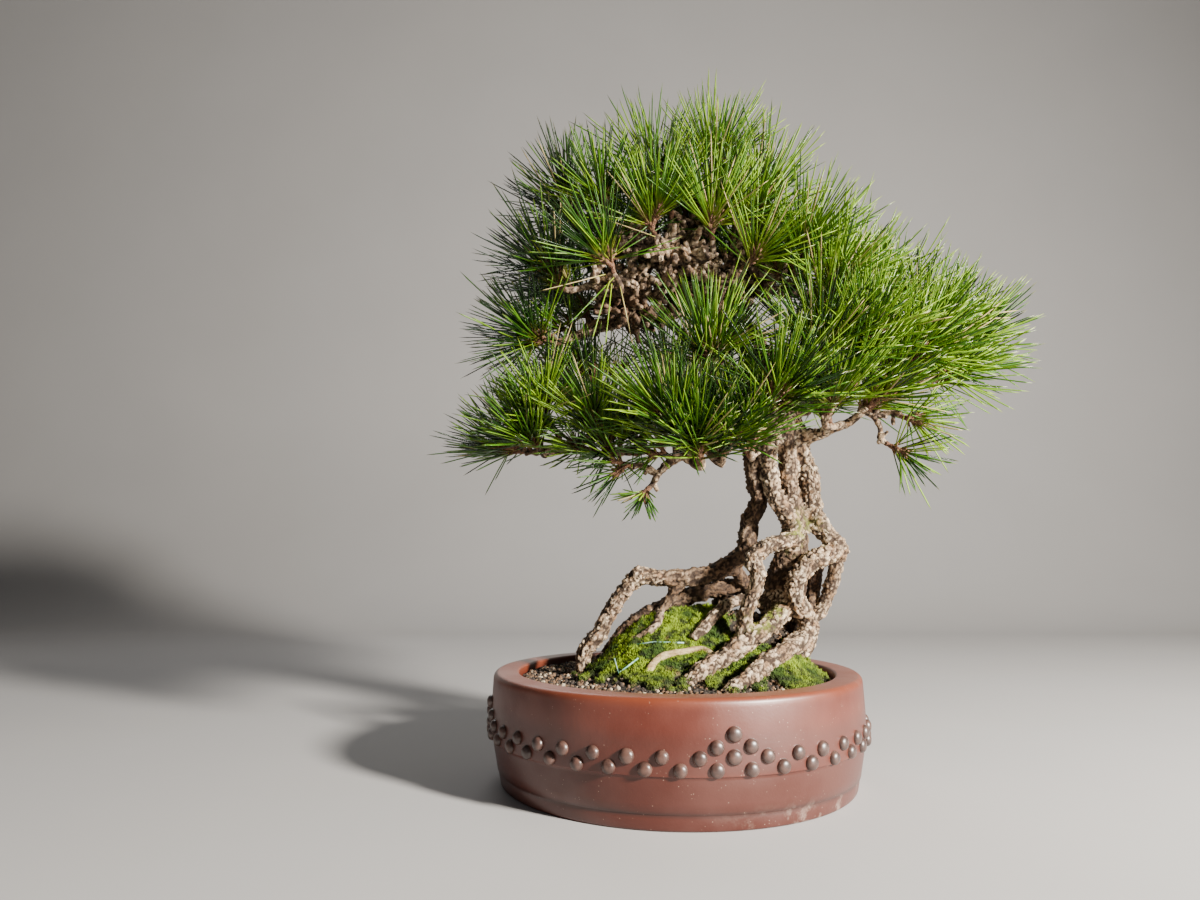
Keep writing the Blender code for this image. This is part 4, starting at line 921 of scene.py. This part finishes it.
def add_twig(points, sides=8, tone=0.3, rough=0.16):
    route = smooth_route(points, 2.2)
    length = np.cumsum(np.r_[0, np.linalg.norm(np.diff(route[:, :3], axis=0), axis=1)])
    strip = np.column_stack([length, np.full((len(length), 2), 13.0 * len(parts))])
    route[:, 3] *= 1 + rough * noise3(strip, 4.4, 6) + 0.6 * rough * np.sin(length * 1.9)
    drift = np.stack([noise3(strip, 12.0, s) for s in (7, 8, 9)], -1)
    fade = np.minimum(length / 8, (length[-1] - length) / 8).clip(0, 1)
    route[:, :3] += drift * 1.6 * fade[:, None]
    made = tube(route, sides)
    parts.append(made)
    tones.append(np.full(len(made[0]), tone))
    return route


for i, row in enumerate(SPRAYS):
    base, heading = np.array(row[:3], float), unit(row[3:])
    route = add_twig(twig_rows(base, heading), 9)
    for _ in range(3):
        k = draw.integers(len(route) // 3, len(route) - 2)
        side = unit(np.cross(heading, draw.normal(size=3)) + 0.5 * heading)
        a = route[k, :3]
        b = a + side * draw.uniform(6, 13)
        add_twig([(*a, 2.4), (*(a + b) / 2 + draw.normal(0, 0.8, 3), 2.2), (*b, 1.7)], 6, 0.35)
for row in INNER + LOW_TUFTS:
    add_twig(twig_rows(np.array(row[:3], float), unit(row[3:])), 7, 0.7)
open_front = (samples[:, 2] > 425) & (samples[:, 2] < 572) & (samples[:, 0] < 96) & (samples[:, 0] > -86)
starts = samples[open_front & (samples[:, 1] < 34)]
chance = np.where(starts[:, 2] < 466, 0.3, 1.0)
for k in draw.choice(len(starts), SPURS, p=chance / chance.sum()):
    a = starts[k, :3]
    way = unit(np.array([draw.normal(0, 0.75), -abs(draw.normal(0.45, 0.5)), draw.normal(0.3, 0.6)]))
    span = draw.uniform(12, 36)
    middle = a + way * span * 0.5 + draw.normal(0, 3.0, 3)
    end = a + way * span + draw.normal(0, 3.0, 3)
    add_twig([(*a, 4.0), (*middle, 3.5), (*end, 2.8)], 7, draw.uniform(0.0, 0.55), 0.24)
    for _ in range(2):
        tip = middle + unit(way + draw.normal(0, 0.8, 3)) * draw.uniform(7, 15)
        add_twig([(*middle, 3.2), (*(middle + tip) / 2 + draw.normal(0, 1.0, 3), 2.8), (*tip, 2.2)], 6,
                 draw.uniform(0.0, 0.55), 0.24)
verts, faces = join_arrays(parts)
bump = noise3(verts, 2.4, 15)
# Painted shade: twigs deeper in the crown and low in its open front are darker.
low_part = np.clip((484 - verts[:, 2]) / 30, 0, 1) * (verts[:, 2] > 420)
shade = 0.85 * np.clip((verts[:, 1] + 26) / 34, 0, 1) + 0.6 * low_part
centre_tone = np.concatenate(tones) + 0.25 * noise3(verts, 14.0, 16) + shade
twigs = make_mesh("pine_twigs", verts, faces, bark.material, relief=np.clip(0.60 + 0.8 * bump, 0, 1),
                  tone=np.clip(centre_tone, 0, 1), plate=np.clip(0.5 + 0.6 * noise3(verts, 3.6, 17), 0, 1),
                  lichen=np.zeros(len(verts)), peeled=np.zeros(len(verts)))
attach(twigs, "root")
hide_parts("tree_wood")


# Needles.
# Pairs of stiff needles in brown sheaths round the end of each shoot, swept up and outwards; the
# shoots' own bark is red-brown, and a few old needles are straw-coloured.

leaf = Shader("needle_green", roughness=0.3)
hue, along = leaf.attribute("hue"), leaf.attribute("along")
# Hue runs from dark green to bright yellow-green; it carries each needle's own tone and the painted light
# and shade of its spray.
tone = leaf.mix(hue.smooth(0.0, 0.45), (0.007, 0.026, 0.003), (0.050, 0.150, 0.006))
tone = leaf.mix(hue.smooth(0.40, 0.95), tone, (0.205, 0.360, 0.009))
tone = leaf.mix(hue.smooth(1.05, 1.10), tone, (0.47, 0.37, 0.16))
tone = leaf.mix(along.smooth(0.26, 0.02) * 0.6, tone, (0.38, 0.41, 0.035))
tone = leaf.mix(along.smooth(0.88, 1.0) * 0.5, tone, (0.30, 0.26, 0.09))
leaf.set("Base Color", tone)
leaf.set("Roughness", 0.27 + 0.14 * hue)
leaf.bump(leaf.noise(900.0, 2.0), 0.00015)
sheath = Shader("shoot_bark", roughness=0.8)
tone = sheath.mix(sheath.noise(300.0, 4.0).smooth(0.35, 0.65), (0.105, 0.042, 0.020), (0.300, 0.150, 0.075))
sheath.set("Base Color", sheath.mix(sheath.cells(620.0).smooth(0.2, 0.6) * 0.5, tone, (0.055, 0.024, 0.012)))
sheath.bump(sheath.cells(700.0), 0.0009)

PAIRS = 15
SIDES = 3
KNOTS = np.array([0.0, 0.45, 0.88])
# Length of the needles on the sprays that reach less far, as a share of the usual length.
NEEDLE_SHARE = {23: 0.88, 29: 0.97, 30: 0.98, 32: 0.95, 36: 0.72, 38: 0.93, 39: 0.85, 40: 0.88,
                41: 0.98, 44: 0.88}
# Number of needle pairs as a share of the usual: more round the open front, fewer on the hanging sprays.
PAIR_SHARE = {1: 1.5, 2: 1.5, 3: 1.2, 4: 1.5, 6: 1.3, 23: 0.6, 24: 0.6, 39: 0.75, 40: 0.75}
# One brown sheath: distance along its pair of needles and radius.
SHEATH_ROWS = ((-1.0, 1.2), (2.5, 1.25), (6.0, 1.0))


def needle_arrays(start, way, bend, length, width):
    """Three-sided needles: a centre line that curves by bend across its length, then a short point."""
    count = len(start)
    t = KNOTS
    centre = start[:, None] + (way * length[:, None])[:, None] * t[:, None] \
        + (bend * length[:, None])[:, None] * (t * t)[:, None]
    tip = start + way * length[:, None] + bend * length[:, None]
    across = unit(np.cross(way, np.tile((0.31, 0.83, 0.46), (count, 1))))
    up = np.cross(way, across)
    reach = width[:, None] * np.array([0.9, 1.0, 0.85])[None]
    angle = 2 * np.pi * np.arange(SIDES) / SIDES
    ring = across[:, None, None] * np.cos(angle)[None, None, :, None] \
        + up[:, None, None] * np.sin(angle)[None, None, :, None]
    verts = centre[:, :, None] + ring * reach[:, :, None, None]
    verts = np.concatenate([verts.reshape(count, -1, 3), tip[:, None]], axis=1)
    per = len(t) * SIDES + 1
    faces = []
    for i in range(len(t) - 1):
        for k in range(SIDES):
            j = (k + 1) % SIDES
            faces.append((i * SIDES + k, i * SIDES + j, (i + 1) * SIDES + j, (i + 1) * SIDES + k))
    last = (len(t) - 1) * SIDES
    for k in range(SIDES):
        j = (k + 1) % SIDES
        faces.append((last + k, last + j, per - 1, per - 1))
    faces.append((2, 1, 0, 0))
    faces = np.array(faces)[None] + (per * np.arange(count))[:, None, None]
    return verts.reshape(-1, 3), faces.reshape(-1, 4), np.tile(np.append(np.repeat(t, SIDES), 1.0), count)


def tufts_of(index):
    """Start and end of each tufted shoot of one spray: first its own, then side shoots down its twig."""
    base, heading = np.array(SPRAYS[index][:3], float), unit(SPRAYS[index][3:])
    found = shoots_of(index)
    if index + 1 in SPRAY_SIZE or in_hollow(base):
        return found[:2]
    draw = np.random.default_rng(SEED * 500 + index)
    twig = smooth_route(twig_rows(base, heading), 3.0)[:, :3]
    for share, turn in ((0.92, 0.4), (0.72, 2.6), (0.50, 4.5)):
        side = unit(np.cross(heading, draw.normal(size=3)))
        other = np.cross(heading, side)
        way = unit(heading + 0.9 * (side * math.cos(turn) + other * math.sin(turn)) + (0, 0, 0.35))
        start = twig[int(share * (len(twig) - 1))]
        end = start + way * SHOOT_LENGTH * draw.uniform(0.7, 1.0)
        if not in_hollow(start):
            found.append((start, end))
    return found


margin = 0.010 * (BOX_HIGH - BOX_LOW)


def grow_tuft(start, end, draw, pairs, size, hue_and_painted_light, lift):
    """One shoot with its needle pairs and sheaths, as rows of (verts, faces, hue, along, is_shoot)."""
    axis = unit(end - start)
    u = unit(np.cross(axis, (0.3, 0.5, 0.8)))
    v = np.cross(axis, u)
    rows = [(*start, 2.4), (*(start + end) / 2, 2.4), (*end, 1.9), (*(end + axis * 3), 0.7)]
    shoot = smooth_route(rows, 2.0)
    shoot[:, 3] *= 1 + 0.14 * np.sin(np.arange(len(shoot)) * 2.2)
    verts, faces = tube(shoot, 8)
    grown = [(verts, faces, np.zeros(len(verts)), np.zeros(len(verts)), 1)]
    k = np.arange(pairs)
    place = 0.34 + 0.64 * (k + 0.5) / pairs
    turn = k * 2.39996 + draw.normal(0, 0.3, pairs)
    open_angle = np.radians(np.interp(place, [0.3, 0.98], [68, 14]) + draw.normal(0, 16, pairs))
    out = u * np.cos(turn)[:, None] + v * np.sin(turn)[:, None]
    way = unit(axis * np.cos(open_angle)[:, None] + out * np.sin(open_angle)[:, None])
    way[:, 2] += lift * (0.16 + 0.65 * np.clip(0.12 - way[:, 2], 0, 1))
    way = unit(way)
    root = start + (end - start) * place[:, None] + out * 1.3
    split = unit(np.cross(way, draw.normal(size=(pairs, 3))))
    spread = draw.uniform(0.05, 0.14, pairs)[:, None]
    ways = unit(np.vstack([way + split * spread, way - split * spread]))
    roots = np.vstack([root, root]) + np.vstack([split, -split]) * 0.4
    lengths = draw.normal(75, 8, 2 * pairs).clip(54, 94) * size * draw.uniform(0.84, 1.04)
    bends = np.vstack([split, -split]) * draw.normal(0.0, 0.02, (2 * pairs, 1))
    bends = bends + np.array([0, 0, 1.0]) * draw.normal(0.02, 0.03, (2 * pairs, 1))
    bends = bends + draw.normal(0, 0.022, (2 * pairs, 3))
    for _ in range(4):
        tips = roots + (ways + bends) * lengths[:, None]
        outside = ((tips < BOX_LOW - margin) | (tips > BOX_HIGH + margin)).any(axis=1)
        lengths = np.where(outside, lengths * 0.88, lengths)
    verts, faces, along = needle_arrays(roots, ways, bends, lengths, draw.normal(0.80, 0.06, 2 * pairs))
    hue = np.tile(np.clip(hue_and_painted_light + draw.normal(0, 0.15) + draw.normal(0, 0.34, pairs), 0, 1), 2)
    hue = np.where(np.tile(draw.random(pairs), 2) < 0.025, 1.2, hue)
    grown.append((verts, faces, np.repeat(hue, len(KNOTS) * SIDES + 1), along, 0))
    for j in range(pairs):
        cup = np.array([(*(root[j] + way[j] * d), r) for d, r in SHEATH_ROWS])
        verts, faces = tube(cup, 5)
        grown.append((verts, faces, np.zeros(len(verts)), np.zeros(len(verts)), 1))
    return grown


def make_needles(name, grown, *nodes):
    """One piece from grown tufts, with the needles' green and the shoots' bark as its two materials."""
    verts, faces = join_arrays([row[:2] for row in grown])
    spray = make_mesh(name, verts, faces, leaf.material, hue=np.concatenate([row[2] for row in grown]),
                      along=np.concatenate([row[3] for row in grown]))
    spray.data.materials.append(sheath.material)
    is_shoot = np.concatenate([np.full(len(row[1]), row[4], np.int32) for row in grown])
    spray.data.polygons.foreach_set("material_index", is_shoot)
    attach(spray, "root")
    if nodes:
        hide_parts(*nodes)


for i, row in enumerate(SPRAYS):
    draw = np.random.default_rng(SEED * 9000 + i)
    pairs = int(PAIRS * PAIR_SHARE.get(i + 1, 1.0))
    size = SPRAY_SIZE.get(i + 1, 1.0) * (0.86 if row[0] < -20 and row[2] < 360 else 1.0)
    size *= NEEDLE_SHARE.get(i + 1, 1.0)
    lift = 0.5 if row[0] > 180 else 0.75
    lift = 0.2 if row[0] < -100 and row[2] > 400 else lift
    lift = 0.0 if i + 1 in SPRAY_SIZE else lift
    # Painted light and shade: needles brighter to the right and higher up, darker on the shaded left of the
    # crown, brighter on the low left pad.
    hue_and_painted_light = 0.50 + 0.0006 * (row[0] - 40) + 0.0006 * (row[2] - 400) + draw.normal(0, 0.06)
    shaded_left = min(1, max(0, -row[0] - 35) / 45) if row[2] > 400 else 0
    hue_and_painted_light += 0.12 if row[0] < -50 and row[2] < 380 else -0.42 * shaded_left
    grown = []
    for start, end in tufts_of(i):
        grown += grow_tuft(start, end, draw, pairs, size, hue_and_painted_light, lift)
    make_needles("needles_%02d" % (i + 1), grown, "needle_spray_%02d" % (i + 1))


# Inner tufts.
# Short shoots inside and at the back of the crown, which close it behind the open front, and small low
# ones along the front of the lowest pad.

grown = []
draw = np.random.default_rng(SEED * 9100)
for row in INNER:
    base, heading = np.array(row[:3], float), unit(row[3:])
    side = unit(np.cross(heading, draw.normal(size=3)))
    for way in (heading + 0.5 * side, heading - 0.6 * side):
        grown += grow_tuft(base, base + SHOOT_LENGTH * 0.8 * unit(way), draw, 12, 0.9, 0.26, 0.6)
for row in LOW_TUFTS:
    base, heading = np.array(row[:3], float), unit(row[3:])
    side = unit(np.cross(heading, draw.normal(size=3)))
    for way in (heading + 0.4 * side, heading - 0.7 * side):
        grown += grow_tuft(base, base + SHOOT_LENGTH * 0.6 * unit(way), draw, 12, 0.62, 0.50, 0.3)
make_needles("needles_inner", grown)


# Single needles.
# Long ones that stand out of the crown's outline, and old straw-coloured ones that hang at its left and
# in its open front. Each row is a start, an end and a hue.

SINGLE = [
    ((-50, -20, 600), (-54.5, -22, 680), 0.7), ((300, -8, 408), (380, -12, 424), 0.2),
    ((292, -6, 402), (376, -14, 398), 0.25), ((-128, -30, 486), (-202, -44, 512), 0.1),
    ((-134, -22, 430), (-212, -34, 420), 0.1), ((-70, -40, 560), (-104, -52, 622), 0.3),
    ((150, -20, 500), (206, -34, 560), 0.3), ((134, -12, 520), (176, -26, 588), 0.2),
    ((-54, -76, 462), (-40, -90, 390), 1.2), ((-64, -80, 466), (-82, -94, 404), 0.8),
    ((-68, -76, 474), (-130, -90, 452), 1.2), ((-60, -78, 470), (-104, -92, 418), 0.5),
    ((-62, -78, 464), (-68, -92, 398), 0.9), ((-20, -74, 512), (-68, -88, 524), 1.2),
    ((40, -80, 470), (30, -94, 404), 0.7), ((72, -78, 474), (98, -90, 410), 0.5),
]
start, end = (np.array([row[k] for row in SINGLE], float) for k in (0, 1))
length = np.linalg.norm(end - start, axis=1)
straight, bend = (end - start) / length[:, None], draw.normal(0, 0.012, start.shape)
verts, faces, along = needle_arrays(start, straight, bend, length, np.full(len(length), 0.68))
hue = np.repeat([row[2] for row in SINGLE], len(KNOTS) * SIDES + 1)
make_needles("needles_single", [(verts, faces, hue, along, 0)])


# Anchor wires.
# Thin aluminium wire with a worn pale green coating, which ties the roots down into the pot. Only these
# ends of it stand out of the moss.

WIRES = {
    "anchor_wire_1": [(-60, -58, 117, 0.7), (-56, -56, 103.5, 0.7), (-38, -57, 117, 0.7)],
    "anchor_wire_2": [(-46, -25, 125, 0.7), (-21, -31, 129, 0.7), (6, -35.5, 128.5, 0.7)],
}
coated = Shader("wire_coating", roughness=0.45)
worn = coated.noise(180.0).smooth(0.4, 0.6)
coated.set("Base Color", coated.mix(worn, (0.09, 0.33, 0.23), (0.38, 0.62, 0.52)))
coated.bump(coated.noise(800.0), 0.0002)
for name, points in WIRES.items():
    verts, faces = tube(np.array(points), 10)
    wire = make_mesh(name.replace("anchor", "tie"), verts, faces, coated.material)
    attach(wire, "root")
    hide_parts(name)
